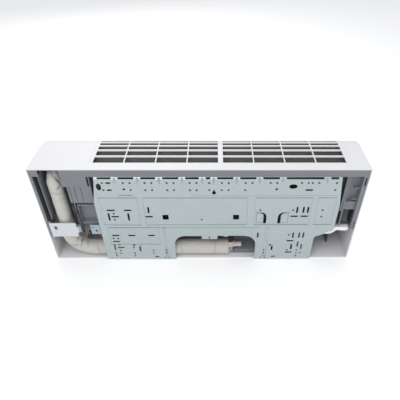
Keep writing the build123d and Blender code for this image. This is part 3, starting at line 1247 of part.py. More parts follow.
# ================================================================ everything together
def build_parts():
    parts = {
        "mounting_plate": make_mounting_plate(),
        "rear_chassis": make_chassis(),
        "front_case": make_case(),
        "front_panel": make_panel(),
        "display_lens": make_display_lens(),
        "display_board": make_display_board(),
        "emergency_button": make_button(),
        "air_filter_left": make_filter(GRILLE_LEFT - 2, GRILLE_MIDDLE[0] + 2),
        "air_filter_right": make_filter(GRILLE_MIDDLE[1] - 2, GRILLE_RIGHT + 2),
        "drain_pan": make_drain_pan(),
        "louver": make_louver(),
        "louver_motor": make_louver_motor(),
        "cross_flow_fan": make_fan(),
        "fan_stub_shaft": make_shaft_left(),
        "fan_bearing_mount": make_bearing(),
        "fan_bearing": make_bearing_bush(),
        "motor_shaft": make_motor_shaft(),
        "fan_motor": make_motor(),
        "motor_clamp": make_motor_cover(),
        "coil_fins_front": make_fins(FRONT_COIL),
        "coil_fins_top": make_fins(TOP_COIL),
        "coil_fins_rear": make_fins(REAR_COIL),
        "coil_tubes_front": make_tubes(FRONT_COIL) + make_crossover(FRONT_COIL, -1, TOP_COIL, 0),
        "coil_tubes_top": make_tubes(TOP_COIL) + make_crossover(TOP_COIL, -1, REAR_COIL, -1),
        "coil_tubes_rear": make_tubes(REAR_COIL),
        "coil_plate_left": make_coil_plate(COIL_LEFT - COIL_PLATE, COIL_LEFT),
        "coil_plate_right": make_coil_plate(COIL_RIGHT, COIL_RIGHT + COIL_PLATE),
        "gas_pipe": make_gas_pipe(),
        "liquid_pipe": make_liquid_pipe(),
        "pipe_bundle": make_bundle(),
        "gas_flare_nut": make_gas_nut(),
        "gas_pipe_plug": make_gas_plug(),
        "liquid_flare_nut": make_liquid_nut(),
        "liquid_pipe_plug": make_liquid_plug(),
        "pipe_clamp": make_clamp(),
        "clamp_pin": make_clamp_pin(),
        "clamp_latch": make_clamp_latch(),
        "side_bracket": make_bracket(),
        "drain_hose": make_drain_hose(),
        "drain_foam": make_foam(),
        "sensor_wires": make_wires(),
        "pan_head_screws": make_screws(),
        "electrical_box": make_box(),
        "electrical_cover": make_box_cover(),
        "control_board": make_board(),
        "terminal_block": make_terminal_block(),
    }
    for group, side in enumerate(("left", "right")):
        parts["vane_rail_" + side] = make_vane_rail(group)
        parts["vane_link_" + side] = make_vane_link(group)
        for i, x in enumerate(vane_positions(group)):
            parts["vane_" + side + "_" + str(i + 1)] = make_vane(x)
    return parts


def main():
    os.makedirs("parts", exist_ok=True)
    for name, shape in build_parts().items():
        export_step(Pos(0, 0, -CASE_HEIGHT / 2) * shape, "parts/" + name + ".step")


if __name__ == "__main__":
    main()
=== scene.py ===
# %% [markdown]
# # A split air conditioner's indoor unit, seen from behind
# The part arrives as a finished frame of solids: casing, chassis, mounting plate, fan, coil and pipes.
# Blender adds what solids can't carry: the finish of each surface, the tape wound round the pipes,
# the stack of thin fins, the ribs of the drain hose and the crumpled foam. Nothing rigid is moved.

# %% Load the frame
import bmesh
import bpy
import json
import math
from mathutils import Matrix, Vector, geometry, noise

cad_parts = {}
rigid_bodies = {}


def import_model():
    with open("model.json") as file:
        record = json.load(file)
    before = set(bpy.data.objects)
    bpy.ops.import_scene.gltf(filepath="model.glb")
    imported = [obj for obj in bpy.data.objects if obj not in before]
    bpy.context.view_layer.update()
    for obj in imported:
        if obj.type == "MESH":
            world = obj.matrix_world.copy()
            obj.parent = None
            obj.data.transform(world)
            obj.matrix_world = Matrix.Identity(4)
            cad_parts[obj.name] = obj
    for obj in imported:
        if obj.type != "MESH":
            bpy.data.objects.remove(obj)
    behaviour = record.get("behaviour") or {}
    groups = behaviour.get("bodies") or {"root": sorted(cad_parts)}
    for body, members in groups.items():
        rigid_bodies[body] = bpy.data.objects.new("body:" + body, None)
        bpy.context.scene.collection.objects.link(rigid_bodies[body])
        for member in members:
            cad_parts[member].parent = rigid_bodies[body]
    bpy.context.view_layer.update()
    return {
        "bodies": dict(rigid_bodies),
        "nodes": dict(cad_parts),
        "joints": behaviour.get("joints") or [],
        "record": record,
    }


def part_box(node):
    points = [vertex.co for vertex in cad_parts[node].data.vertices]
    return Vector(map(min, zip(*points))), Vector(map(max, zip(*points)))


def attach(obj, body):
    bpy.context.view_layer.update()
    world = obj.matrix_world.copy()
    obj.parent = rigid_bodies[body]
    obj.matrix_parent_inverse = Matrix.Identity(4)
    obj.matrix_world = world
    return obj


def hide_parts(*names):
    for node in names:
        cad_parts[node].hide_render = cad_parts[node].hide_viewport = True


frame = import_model()
nodes = frame["nodes"]

# %% [markdown]
# ## One set of coordinates
# The part is drawn in millimetres: x to the right as seen from the room, depth from the wall, and
# height from the casing's underside. The origin lies on the wall at the casing's middle, and Blender
# works in metres, so one small function turns a drawn point into a place in the scene.

# %% Places and sizes
MM = 0.001
CASE_HEIGHT = 297.0
CASE_FRONT = 193.0


def place(x, depth, height):
    return Vector((x * MM, -depth * MM, (height - CASE_HEIGHT / 2) * MM))


print("casing's lower front edge", place(0, CASE_FRONT, 0))

# %% [markdown]
# ## The camera
# The photograph looks down at the back of the unit from a little above a metre away. The lens, the
# place and the small shift of the frame come from the known corners of the casing, the same way that a
# surveyor finds where a picture was taken. The three directions are the columns of the camera's turn.

# %% Camera
CAMERA_PLACE = Vector((-0.03512, 0.75446, 0.67145))
CAMERA_RIGHT = Vector((-0.99995, 0.00798, 0.00530))
CAMERA_UP = Vector((-0.00100, -0.63801, 0.77003))
LENS, SENSOR = 35.84, 36.0      # both in millimetres
SHIFT = (-0.04736, 0.01168)     # shares of the picture's width


def in_scene(name, data):
    """A new object in the scene that holds the data."""
    holder = bpy.data.objects.new(name, data)
    bpy.context.scene.collection.objects.link(holder)
    return holder


camera_data = bpy.data.cameras.new("photo_camera")
camera = in_scene("photo_camera", camera_data)
back = CAMERA_RIGHT.cross(CAMERA_UP).normalized()
turn = Matrix((CAMERA_RIGHT.normalized(), back.cross(CAMERA_RIGHT).normalized(), back)).transposed()
camera.matrix_world = Matrix.Translation(CAMERA_PLACE) @ turn.to_4x4()
camera_data.sensor_width = SENSOR
camera_data.lens = LENS
camera_data.shift_x, camera_data.shift_y = SHIFT
bpy.context.scene.camera = camera
print("camera at", camera.location[:])

# %% [markdown]
# ## Light and floor
# The unit was photographed on a white sweep with large soft lights. A pale world gives the even fill,
# one wide lamp above and behind the camera shapes the plate and the recess, and a weaker one from the
# side keeps the grille's bars readable. A third stands in the room, for whoever looks at the front. The
# floor is a matt pale sheet just under the casing. The plain Standard view keeps whites white, as a
# catalogue picture does.

# %% Studio
FLOOR_SIDE = 8.0
FLOOR_GAP = 0.6 * MM

bpy.context.scene.view_settings.view_transform = "Standard"
world = bpy.data.worlds.new("studio")
bpy.context.scene.world = world
world.use_nodes = True
sky = world.node_tree.nodes["Background"]
sky.inputs["Color"].default_value = (0.96, 0.97, 1.0, 1)
sky.inputs["Strength"].default_value = 0.74


def soft_lamp(name, where, size, watts):
    """A round area lamp that looks at the middle of the unit."""
    lamp = bpy.data.lights.new(name, "AREA")
    lamp.shape = "DISK"
    lamp.size = size
    lamp.energy = watts
    holder = in_scene(name, lamp)
    holder.location = where
    holder.rotation_euler = (Vector((0, 0, 0)) - Vector(where)).to_track_quat("-Z", "Y").to_euler()


soft_lamp("key_light", (0.5, 1.3, 1.9), size=1.6, watts=21)
soft_lamp("side_light", (-1.9, 0.5, 0.9), size=1.2, watts=8)
soft_lamp("room_light", (0.6, -2.0, 1.3), size=1.6, watts=16)

bpy.ops.mesh.primitive_plane_add(size=FLOOR_SIDE, location=(0, 0, -CASE_HEIGHT / 2 * MM - FLOOR_GAP))
floor = bpy.context.object
floor.name = "floor"

# %% [markdown]
# ## Effects that several finishes share
# A real surface is never one flat colour. Moulded plastic has a fine grain, every part has slow drifts
# of tone, and zinc-coated sheet shows the flat crystals of its coating. Each effect is built once as a
# node group with named inputs, and each finish places it with its own values.

# %% Node helpers
def add(tree, kind, values=None, **settings):
    node = tree.nodes.new(kind)
    for key, value in settings.items():
        setattr(node, key, value)
    for key, value in (values or {}).items():
        node.inputs[key].default_value = value
    return node


def shader_group(name, inputs, outputs):
    group = bpy.data.node_groups.new(name, "ShaderNodeTree")
    for label, kind, value in inputs:
        socket = group.interface.new_socket(label, in_out="INPUT", socket_type=kind)
        if value is not None:
            socket.default_value = value
    for label, kind in outputs:
        group.interface.new_socket(label, in_out="OUTPUT", socket_type=kind)
    return group, add(group, "NodeGroupInput"), add(group, "NodeGroupOutput")


def wire(tree, *pairs):
    """Links each pair's first socket to its second."""
    for source, target in pairs:
        tree.links.new(source, target)


def laid_over(tree, under, factor, colour):
    """Lays a fixed colour over what comes in, by a factor, and gives the socket with the result."""
    mix = add(tree, "ShaderNodeMix", data_type="RGBA")
    mix_under, mix_over = [socket for socket in mix.inputs if socket.type == "RGBA"]
    mix_over.default_value = (*colour, 1)
    wire(tree, (under, mix_under), (factor, mix.inputs["Factor"]))
    return [socket for socket in mix.outputs if socket.type == "RGBA"][0]


VALUE, COLOUR, VECTOR = "NodeSocketFloat", "NodeSocketColor", "NodeSocketVector"
print("kinds of value", VALUE, COLOUR, VECTOR)

# %% [markdown]
# ### Moulded grain
# Injection moulds are spark-eroded, which leaves the plastic with a fine even pebble. Noise with two
# steps of finer detail makes it. The group puts out a height for the Bump node of each material.

# %% Moulded grain
grain, grain_in, grain_out = shader_group(
    "moulded_grain",
    [("Vector", VECTOR, None), ("Grain Size", VALUE, 0.0006), ("Softness", VALUE, 0.5)],
    [("Height", VALUE)])
per_grain = add(grain, "ShaderNodeMath", {0: 1.0}, operation="DIVIDE")
pebble = add(grain, "ShaderNodeTexNoise", {"Detail": 2.0})
wire(grain, (grain_in.outputs["Grain Size"], per_grain.inputs[1]),
     (grain_in.outputs["Vector"], pebble.inputs["Vector"]),
     (per_grain.outputs[0], pebble.inputs["Scale"]),
     (grain_in.outputs["Softness"], pebble.inputs["Roughness"]),
     (pebble.outputs["Fac"], grain_out.inputs["Height"]))
print("group", grain.name)

# %% [markdown]
# ### Slow drift of tone
# Light and dark areas some centimetres across keep a large face from looking like a painted polygon.
# The group gives the colour, a little lighter or darker, and the roughness that goes with it.

# %% Tone drift
drift, drift_in, drift_out = shader_group(
    "tone_drift",
    [("Vector", VECTOR, None), ("Colour", COLOUR, (0.8, 0.8, 0.8, 1)), ("Patch Size", VALUE, 0.06),
     ("Depth", VALUE, 0.06), ("Roughness", VALUE, 0.4), ("Roughness Spread", VALUE, 0.08)],
    [("Colour", COLOUR), ("Roughness", VALUE)])
per_patch = add(drift, "ShaderNodeMath", {0: 1.0}, operation="DIVIDE")
cloud = add(drift, "ShaderNodeTexNoise", {"Detail": 4.0, "Roughness": 0.6})
wire(drift, (drift_in.outputs["Patch Size"], per_patch.inputs[1]),
     (drift_in.outputs["Vector"], cloud.inputs["Vector"]),
     (per_patch.outputs[0], cloud.inputs["Scale"]))


def vary(group, shade, given, result):
    """Lightens and roughens by a value around a half, by the group's Depth and Roughness Spread."""
    centred = add(group, "ShaderNodeMath", {1: 0.5}, operation="SUBTRACT")
    brightness = add(group, "ShaderNodeMath", {2: 1.0}, operation="MULTIPLY_ADD")
    tinted = add(group, "ShaderNodeVectorMath", operation="SCALE")
    gloss = add(group, "ShaderNodeMath", operation="MULTIPLY_ADD")
    wire(group, (shade, centred.inputs[0]),
         (centred.outputs[0], brightness.inputs[0]), (given.outputs["Depth"], brightness.inputs[1]),
         (given.outputs["Colour"], tinted.inputs[0]), (brightness.outputs[0], tinted.inputs["Scale"]),
         (tinted.outputs[0], result.inputs["Colour"]),
         (centred.outputs[0], gloss.inputs[0]), (given.outputs["Roughness Spread"], gloss.inputs[1]),
         (given.outputs["Roughness"], gloss.inputs[2]), (gloss.outputs[0], result.inputs["Roughness"]))


vary(drift, cloud.outputs["Fac"], drift_in, drift_out)
print("group", drift.name)

# %% [markdown]
# ### Dust in the open faces
# A used or stored unit carries a thin film of dust where a face looks up. The mask is the upward part
# of the surface's own normal, broken up by noise, so it doesn't depend on where the camera stands.

# %% Dust film
DUST_COLOUR = (0.55, 0.52, 0.47)

dust, dust_in, dust_out = shader_group(
    "dust_film",
    [("Vector", VECTOR, None), ("Colour", COLOUR, (0.5, 0.5, 0.5, 1)), ("Amount", VALUE, 0.1)],
    [("Colour", COLOUR)])
surface = add(dust, "ShaderNodeNewGeometry")
normal_parts = add(dust, "ShaderNodeSeparateXYZ")
facing_up = add(dust, "ShaderNodeMapRange", {"From Min": 0.2, "From Max": 1.0, "To Min": 0.0, "To Max": 1.0})
flecks = add(dust, "ShaderNodeTexNoise", {"Scale": 60.0, "Detail": 6.0, "Roughness": 0.7})
broken = add(dust, "ShaderNodeMath", operation="MULTIPLY")
amount = add(dust, "ShaderNodeMath", operation="MULTIPLY")
wire(dust, (surface.outputs["Normal"], normal_parts.inputs[0]),
     (normal_parts.outputs["Z"], facing_up.inputs["Value"]),
     (dust_in.outputs["Vector"], flecks.inputs["Vector"]),
     (facing_up.outputs[0], broken.inputs[0]), (flecks.outputs["Fac"], broken.inputs[1]),
     (broken.outputs[0], amount.inputs[0]), (dust_in.outputs["Amount"], amount.inputs[1]))
dusted = laid_over(dust, dust_in.outputs["Colour"], amount.outputs[0], DUST_COLOUR)
wire(dust, (dusted, dust_out.inputs["Colour"]))
print("group", dust.name)

# %% [markdown]
# ## Building a finish
# Most finishes here are a base colour with drift and dust, a roughness that drifts with it, and a
# grain in the normal. One function lays out those nodes, and what is special to a finish is added to
# its tree afterwards. Values that are the same everywhere sit on the shader itself. Sizes and heights
# are in metres. The floor uses the function too, with a little light of its own, like a sweep of white
# acrylic lit from below.

# %% A plain finish
def finish(name, colour, roughness, grain_size=0.0006, grain_height=0.00004, metallic=0.0, patch=0.06,
           depth=0.08, dusty=0.12, spread=0.08, specular=0.5):
    """A material with drift, dust and grain. depth and spread are how far colour and roughness drift."""
    material = bpy.data.materials.new(name)
    material.use_nodes = True
    tree = material.node_tree
    shader = tree.nodes["Principled BSDF"]
    shader.inputs["Metallic"].default_value = metallic
    shader.inputs["Specular IOR Level"].default_value = specular
    where = add(tree, "ShaderNodeTexCoord", name="where")
    tone = add(tree, "ShaderNodeGroup", node_tree=drift, name="tone")
    tone.inputs["Colour"].default_value = (*colour, 1)
    tone.inputs["Patch Size"].default_value = patch
    tone.inputs["Depth"].default_value = depth
    tone.inputs["Roughness"].default_value = roughness
    tone.inputs["Roughness Spread"].default_value = spread
    film = add(tree, "ShaderNodeGroup", node_tree=dust, name="film")
    film.inputs["Amount"].default_value = dusty
    pebbles = add(tree, "ShaderNodeGroup", node_tree=grain)
    pebbles.inputs["Grain Size"].default_value = grain_size
    bump = add(tree, "ShaderNodeBump", {"Strength": 1.0, "Distance": grain_height}, name="bump")
    for group in (tone, film, pebbles):
        wire(tree, (where.outputs["Object"], group.inputs["Vector"]))
    wire(tree, (tone.outputs["Colour"], film.inputs["Colour"]),
         (film.outputs["Colour"], shader.inputs["Base Color"]),
         (tone.outputs["Roughness"], shader.inputs["Roughness"]),
         (pebbles.outputs["Height"], bump.inputs["Height"]),
         (bump.outputs["Normal"], shader.inputs["Normal"]))
    return material


pale_floor = finish("pale_floor", (0.93, 0.93, 0.93), 0.7, patch=0.8, depth=0.02, dusty=0.0)
floor_shader = pale_floor.node_tree.nodes["Principled BSDF"]
floor_shader.inputs["Emission Color"].default_value = (1.0, 1.0, 1.0, 1)
floor_shader.inputs["Emission Strength"].default_value = 0.12
floor.data.materials.append(pale_floor)
print("first finish", pale_floor.name)

# %% [markdown]
# ## Plastics
# The casing is a silky white, the chassis a blue-grey that lies between slate and steel, and the inner
# mouldings are off-white. The fan is black and glass-filled, so its tone is less even and its gloss low.

# %% Plastics
white_casing = finish("white_casing", (0.70, 0.698, 0.712), 0.42, grain_size=0.0012, grain_height=0.00002,
                      depth=0.03, dusty=0.03, spread=0.06, specular=0.35)
grey_chassis = finish("grey_chassis", (0.175, 0.185, 0.20), 0.5, grain_size=0.0005, grain_height=0.00005,
                      depth=0.16, dusty=0.16)
pale_moulding = finish("pale_moulding", (0.74, 0.75, 0.74), 0.42, depth=0.06)
vane_moulding = finish("vane_moulding", (0.70, 0.72, 0.73), 0.45)
fan_black = finish("fan_black", (0.022, 0.022, 0.025), 0.5, grain_size=0.0004, grain_height=0.00006,
                   depth=0.3)
motor_resin = finish("motor_resin", (0.72, 0.72, 0.69), 0.55)
latch_blue = finish("latch_blue", (0.33, 0.38, 0.45), 0.4)
clamp_white = finish("clamp_white", (0.565, 0.58, 0.61), 0.35, depth=0.04, dusty=0.05)
soft_cap = finish("soft_cap", (0.50, 0.47, 0.48), 0.6, grain_size=0.0008, grain_height=0.00005)
dark_terminal = finish("dark_terminal", (0.03, 0.03, 0.032), 0.5)
bearing_rubber = finish("bearing_rubber", (0.02, 0.02, 0.02), 0.75, grain_size=0.0004, grain_height=0.00008)
circuit_board = finish("circuit_board", (0.02, 0.12, 0.05), 0.35, grain_size=0.002, grain_height=0.00003,
                       depth=0.3)
print("plastics", len(bpy.data.materials))

# %% Assign to nodes
def dress(material, *names):
    for name in names:
        mesh = nodes[name].data
        mesh.materials.clear()
        mesh.materials.append(material)
    print(material.name, "on", ", ".join(names))


dress(white_casing, "front_case", "front_panel", "louver")
dress(grey_chassis, "rear_chassis")
dress(pale_moulding, "emergency_button", "drain_pan", "motor_clamp", "electrical_box", "electrical_cover")
dress(vane_moulding, *[name for name in nodes if name.startswith("vane_")])
dress(fan_black, "cross_flow_fan")
dress(motor_resin, "fan_motor")
dress(latch_blue, "clamp_latch")
dress(clamp_white, "pipe_clamp")
dress(soft_cap, "gas_pipe_plug", "liquid_pipe_plug")
dress(dark_terminal, "terminal_block")
dress(bearing_rubber, "fan_bearing_mount")
dress(circuit_board, "control_board", "display_board")

# %% [markdown]
# ## Metals
# Two effects make bare metal read as metal. Zinc-coated sheet cools into flat crystals, each a little
# lighter or darker than its neighbours and each with its own gloss. Drawn or rolled metal carries fine
# lines along the way it was pulled. Both are groups, because several parts use them.

# %% Zinc crystals
crystals, crystals_in, crystals_out = shader_group(
    "zinc_crystals",
    [("Vector", VECTOR, None), ("Colour", COLOUR, (0.6, 0.62, 0.62, 1)), ("Crystal Size", VALUE, 0.004),
     ("Depth", VALUE, 0.1), ("Roughness", VALUE, 0.45), ("Roughness Spread", VALUE, 0.15)],
    [("Colour", COLOUR), ("Roughness", VALUE)])
per_crystal = add(crystals, "ShaderNodeMath", {0: 1.0}, operation="DIVIDE")
cells = add(crystals, "ShaderNodeTexVoronoi", feature="F1")
shade = add(crystals, "ShaderNodeSeparateColor")
wire(crystals, (crystals_in.outputs["Crystal Size"], per_crystal.inputs[1]),
     (crystals_in.outputs["Vector"], cells.inputs["Vector"]),
     (per_crystal.outputs[0], cells.inputs["Scale"]),
     (cells.outputs["Color"], shade.inputs[0]))
vary(crystals, shade.outputs[0], crystals_in, crystals_out)
print("group", crystals.name)

# %% Drawn lines
drawn, drawn_in, drawn_out = shader_group(
    "drawn_lines",
    [("Vector", VECTOR, None), ("Lines per Metre", VECTOR, (2500, 2500, 80))], [("Height", VALUE)])
stretched = add(drawn, "ShaderNodeVectorMath", operation="MULTIPLY")
scratches = add(drawn, "ShaderNodeTexNoise", {"Scale": 1.0, "Detail": 3.0})
wire(drawn, (drawn_in.outputs["Vector"], stretched.inputs[0]),
     (drawn_in.outputs["Lines per Metre"], stretched.inputs[1]),
     (stretched.outputs[0], scratches.inputs["Vector"]),
     (scratches.outputs["Fac"], drawn_out.inputs["Height"]))
print("group", drawn.name)

# %% A metal finish
SHEET_COLOUR = (0.435, 0.493, 0.495)
ROLLED_LINES = (900, 120, 60)       # lines per metre along x, depth and height


def metal(name, colour, roughness, lines, height=0.00001, crystal_size=None, **more):
    """A finish with drawn lines for its grain and, where a crystal size is given, zinc crystals."""
    material = finish(name, colour, roughness, grain_height=height,
                      **{"metallic": 1.0, "dusty": 0.05, **more})
    tree = material.node_tree
    where, tone, film, bump = [tree.nodes[label] for label in ("where", "tone", "film", "bump")]
    pulled = add(tree, "ShaderNodeGroup", node_tree=drawn)
    pulled.inputs["Lines per Metre"].default_value = lines
    wire(tree, (where.outputs["Object"], pulled.inputs["Vector"]),
         (pulled.outputs["Height"], bump.inputs["Height"]))
    if crystal_size:
        zinc = add(tree, "ShaderNodeGroup", node_tree=crystals)
        zinc.inputs["Crystal Size"].default_value = crystal_size
        wire(tree, (where.outputs["Object"], zinc.inputs["Vector"]),
             (tone.outputs["Colour"], zinc.inputs["Colour"]),
             (tone.outputs["Roughness"], zinc.inputs["Roughness"]),
             (zinc.outputs["Colour"], film.inputs["Colour"]),
             (zinc.outputs["Roughness"], tree.nodes["Principled BSDF"].inputs["Roughness"]))
    return material


zinc_sheet = metal("zinc_sheet", SHEET_COLOUR, 0.5, ROLLED_LINES, crystal_size=0.0035, metallic=0.7)
print("first metal", zinc_sheet.name)

# %% Metal finishes
bright_zinc = metal("bright_zinc", (0.37, 0.43, 0.49), 0.3, ROLLED_LINES, crystal_size=0.006)
turned_steel = metal("turned_steel", (0.55, 0.55, 0.56), 0.3, (3000, 60, 60))
copper_tube = metal("copper_tube", (0.78, 0.40, 0.26), 0.32, (60, 2500, 2500))
flare_brass = metal("flare_brass", (0.60, 0.51, 0.46), 0.4, (60, 2500, 2500))
sintered_bronze = metal("sintered_bronze", (0.45, 0.30, 0.14), 0.5, (1500, 1500, 1500), height=0.00004)
fin_aluminium = metal("fin_aluminium", (0.62, 0.66, 0.69), 0.38, (120, 900, 2500))
dress(zinc_sheet, "coil_plate_left", "coil_plate_right")
dress(bright_zinc, "side_bracket")
dress(turned_steel, "fan_stub_shaft", "motor_shaft", "clamp_pin", "louver_motor")
dress(sintered_bronze, "fan_bearing")
dress(copper_tube, "gas_pipe", "liquid_pipe", *[name for name in nodes if name.startswith("coil_tubes")])
dress(flare_brass, "gas_flare_nut", "liquid_flare_nut")
print("finishes so far", len(bpy.data.materials))

# %% [markdown]
# ### A line or a patch on a box
# Some marks belong to one place on a part: painted shade along the edge of a pressed panel, or a patch of
# painted shade. Both can be told from how far a point lies beyond a box. The larger of the overhangs to the
# side and upwards is zero on the rectangle's edge, which gives a thin line, and negative inside it, which
# gives a patch.
# Light from above shows level edges more than upright ones, so the upright lines have a weight of their
# own, which makes them fainter.

# %% Box edge
outline, outline_in, outline_out = shader_group(
    "box_edge",
    [("Vector", VECTOR, None), ("Centre", VECTOR, (0, 0, 0)), ("Half Size", VECTOR, (0.05, 1, 0.05)),
     ("Line Width", VALUE, 0.001), ("Upright Lines", VALUE, 0.15)],
    [("Mask", VALUE), ("Inside", VALUE)])
from_centre = add(outline, "ShaderNodeVectorMath", operation="SUBTRACT")
one_side = add(outline, "ShaderNodeVectorMath", operation="ABSOLUTE")
overhang = add(outline, "ShaderNodeVectorMath", operation="SUBTRACT")
split = add(outline, "ShaderNodeSeparateXYZ")
wider = add(outline, "ShaderNodeMath", operation="MAXIMUM")
widest = add(outline, "ShaderNodeMath", operation="MAXIMUM")
wire(outline, (outline_in.outputs["Vector"], from_centre.inputs[0]),
     (outline_in.outputs["Centre"], from_centre.inputs[1]),
     (from_centre.outputs[0], one_side.inputs[0]),
     (one_side.outputs[0], overhang.inputs[0]), (outline_in.outputs["Half Size"], overhang.inputs[1]),
     (overhang.outputs[0], split.inputs[0]),
     (split.outputs["X"], wider.inputs[0]), (split.outputs["Z"], wider.inputs[1]),
     (wider.outputs[0], widest.inputs[0]), (split.outputs["Y"], widest.inputs[1]))
print("nodes for the overhang", len(outline.nodes))

# %% Line and patch
apart = add(outline, "ShaderNodeMath", operation="ABSOLUTE")
line_mask = add(outline, "ShaderNodeMapRange", {"From Min": 0.0, "To Min": 1.0, "To Max": 0.0})
level_edge = add(outline, "ShaderNodeMath", operation="GREATER_THAN")
weight = add(outline, "ShaderNodeMapRange", {"To Max": 1.0})
weighted = add(outline, "ShaderNodeMath", operation="MULTIPLY")
inside = add(outline, "ShaderNodeMath", {1: 0.0}, operation="LESS_THAN")
wire(outline, (wider.outputs[0], apart.inputs[0]), (apart.outputs[0], line_mask.inputs["Value"]),
     (outline_in.outputs["Line Width"], line_mask.inputs["From Max"]),
     (split.outputs["Z"], level_edge.inputs[0]), (split.outputs["X"], level_edge.inputs[1]),
     (level_edge.outputs[0], weight.inputs["Value"]),
     (outline_in.outputs["Upright Lines"], weight.inputs["To Min"]),
     (line_mask.outputs[0], weighted.inputs[0]), (weight.outputs[0], weighted.inputs[1]),
     (weighted.outputs[0], outline_out.inputs["Mask"]),
     (widest.outputs[0], inside.inputs[0]), (inside.outputs[0], outline_out.inputs["Inside"]))
print("group", outline.name)

# %% Marks on a finish
def box_between(x, depth, height):
    """The centre and the half size of a box, from its limits in the drawing's millimetres."""
    low, high = place(x[0], depth[0], height[0]), place(x[1], depth[1], height[1])
    return (low + high) / 2, Vector([abs(side) / 2 for side in high - low])


def placed_box(tree, box, line_width=0.001, upright=0.15):
    node = add(tree, "ShaderNodeGroup", node_tree=outline)
    node.inputs["Centre"].default_value, node.inputs["Half Size"].default_value = box
    node.inputs["Line Width"].default_value = line_width
    node.inputs["Upright Lines"].default_value = upright
    wire(tree, (tree.nodes["where"].outputs["Object"], node.inputs["Vector"]))
    return node


def blend_in(material, mask, colour, strength):
    """Mixes a colour into the finish where the mask is one."""
    tree = material.node_tree
    base = tree.nodes["Principled BSDF"].inputs["Base Color"]
    share = add(tree, "ShaderNodeMath", {1: strength}, operation="MULTIPLY")
    wire(tree, (mask, share.inputs[0]))
    wire(tree, (laid_over(tree, base.links[0].from_socket, share.outputs[0], colour), base))


def darken_where(material, boxes, output, colour, strength, **line):
    """Mixes a colour into the finish along the boxes' edges or inside the boxes."""
    tree = material.node_tree
    total = None
    for box in boxes:
        found = placed_box(tree, box, **line).outputs[output]
        if total:
            joined = add(tree, "ShaderNodeMath", operation="MAXIMUM")
            wire(tree, (total, joined.inputs[0]), (found, joined.inputs[1]))
            found = joined.outputs[0]
        total = found
    blend_in(material, total, colour, strength)


print("a box's centre and half size", *box_between((0, 200), (0, 40), (0, 100)))

# %% [markdown]
# ### Pressed edges of the plate
# Shallow panels are pressed into the mounting plate to stiffen it. The shade at each pressed step is
# painted, as a thin darker outline round each panel. A fold and a rolled line run along the sheet, and two
# small doors, already cut through on one side, are scored on the rest; their lines are painted shade too.

# %% Pressed edges
# each one: from x to x, and from height to height
PANELS = [(-116, 142, 128, 216), (-274, -134, 128, 216), (-333, -287, 128, 216), (154, 249, 128, 216),
          (110, 242, 58, 118), (93, 100, 12, 116), (-174, -165, 12, 116), (165, 197, 216.5, 224)]
FOLDED = [(-152, 242, 117.9, 118.1)]
ROLLED = [(-330, 20, 222.9, 223.1)]
DOORS = [(-157, -139.5, 134, 164), (-219.5, -202, 134, 164)]
THROUGH = (-50, 50)     # depths that take in the whole sheet
# the colour of the painted shade along the pressed, folded, rolled and scored lines
EDGE_SHADE_COLOUR = (0.12, 0.135, 0.145)

plate_zinc = metal("plate_zinc", SHEET_COLOUR, 0.5, ROLLED_LINES, crystal_size=0.0035, metallic=0.7)
for marks, strength, line_width, upright in ((PANELS, 0.9, 0.0019, 0.12), (FOLDED, 0.8, 0.0012, 0.12),
                                             (ROLLED, 0.4, 0.0012, 0.12), (DOORS, 0.9, 0.0011, 1.0)):
    boxes = [box_between((x0, x1), THROUGH, (z0, z1)) for x0, x1, z0, z1 in marks]
    darken_where(plate_zinc, boxes, "Mask", EDGE_SHADE_COLOUR, strength, line_width=line_width, upright=upright)
    print("marks", len(marks))

# %% [markdown]
# ### Cut edges of the plate
# Where the sheet was cut or pierced its coating is gone and the bare steel shows. Its near-black colour is
# partly painted shade, the shade inside the holes and on the cut walls. Those narrow walls are the only faces
# of the flat sheet that don't look at the wall or the room, so the surface's own normal finds them. A box
# keeps the mask off the bent top edge, whose faces are coated.

# %% Cut edges
FACES_ALONG = 0.3       # a face whose normal has less than this towards the wall is a cut one
SHEET_BOX = box_between((-380, 300), (-0.5, 1.6), (0, 262))
# bare steel darkened to near-black, partly painted shade inside the holes and on the cut walls
BARE_STEEL_AND_SHADE = (0.05, 0.05, 0.055)

plate_tree = plate_zinc.node_tree
normal_split = add(plate_tree, "ShaderNodeSeparateXYZ")
flatness = add(plate_tree, "ShaderNodeMath", operation="ABSOLUTE")
cut_edge = add(plate_tree, "ShaderNodeMath", {1: FACES_ALONG}, operation="LESS_THAN")
bare_or_shaded_edge = add(plate_tree, "ShaderNodeMath", operation="MULTIPLY")
wire(plate_tree, (plate_tree.nodes["where"].outputs["Normal"], normal_split.inputs[0]),
     (normal_split.outputs["Y"], flatness.inputs[0]), (flatness.outputs[0], cut_edge.inputs[0]),
     (cut_edge.outputs[0], bare_or_shaded_edge.inputs[0]),
     (placed_box(plate_tree, SHEET_BOX).outputs["Inside"], bare_or_shaded_edge.inputs[1]))
blend_in(plate_zinc, bare_or_shaded_edge.outputs[0], BARE_STEEL_AND_SHADE, strength=0.85)
dress(plate_zinc, "mounting_plate")

# %% [markdown]
# ### Painted shade behind the plate
# Through every hole of the plate the wall behind looks nearly black, while the rest of the chassis is
# grey. That is shade behind the plate, and it is painted as a near-black colour inside boxes on the
# chassis's own coordinates, so that it stays in place. Between the plate's feet the painted shade fades
# downwards, in two steps.

# %% Painted shade behind the plate
# near-black painted shade on the chassis behind the plate and in the recess under it
PAINTED_SHADE_BLACK = (0.03, 0.03, 0.033)
SHADE_BOXES = [box_between((-352, 262), (12, 60), (112, 284)), box_between((108, 262), (19, 99), (4, 112)),
        box_between((-300, -168), (19, 99), (4, 112)), box_between((-388, -352), (12, 100), (112, 166))]
FAINT_SHADE_BOX = box_between((-168, 108), (22, 99), (60, 112))
DEEPER_SHADE_BOX = box_between((-168, 108), (22, 99), (84, 112))

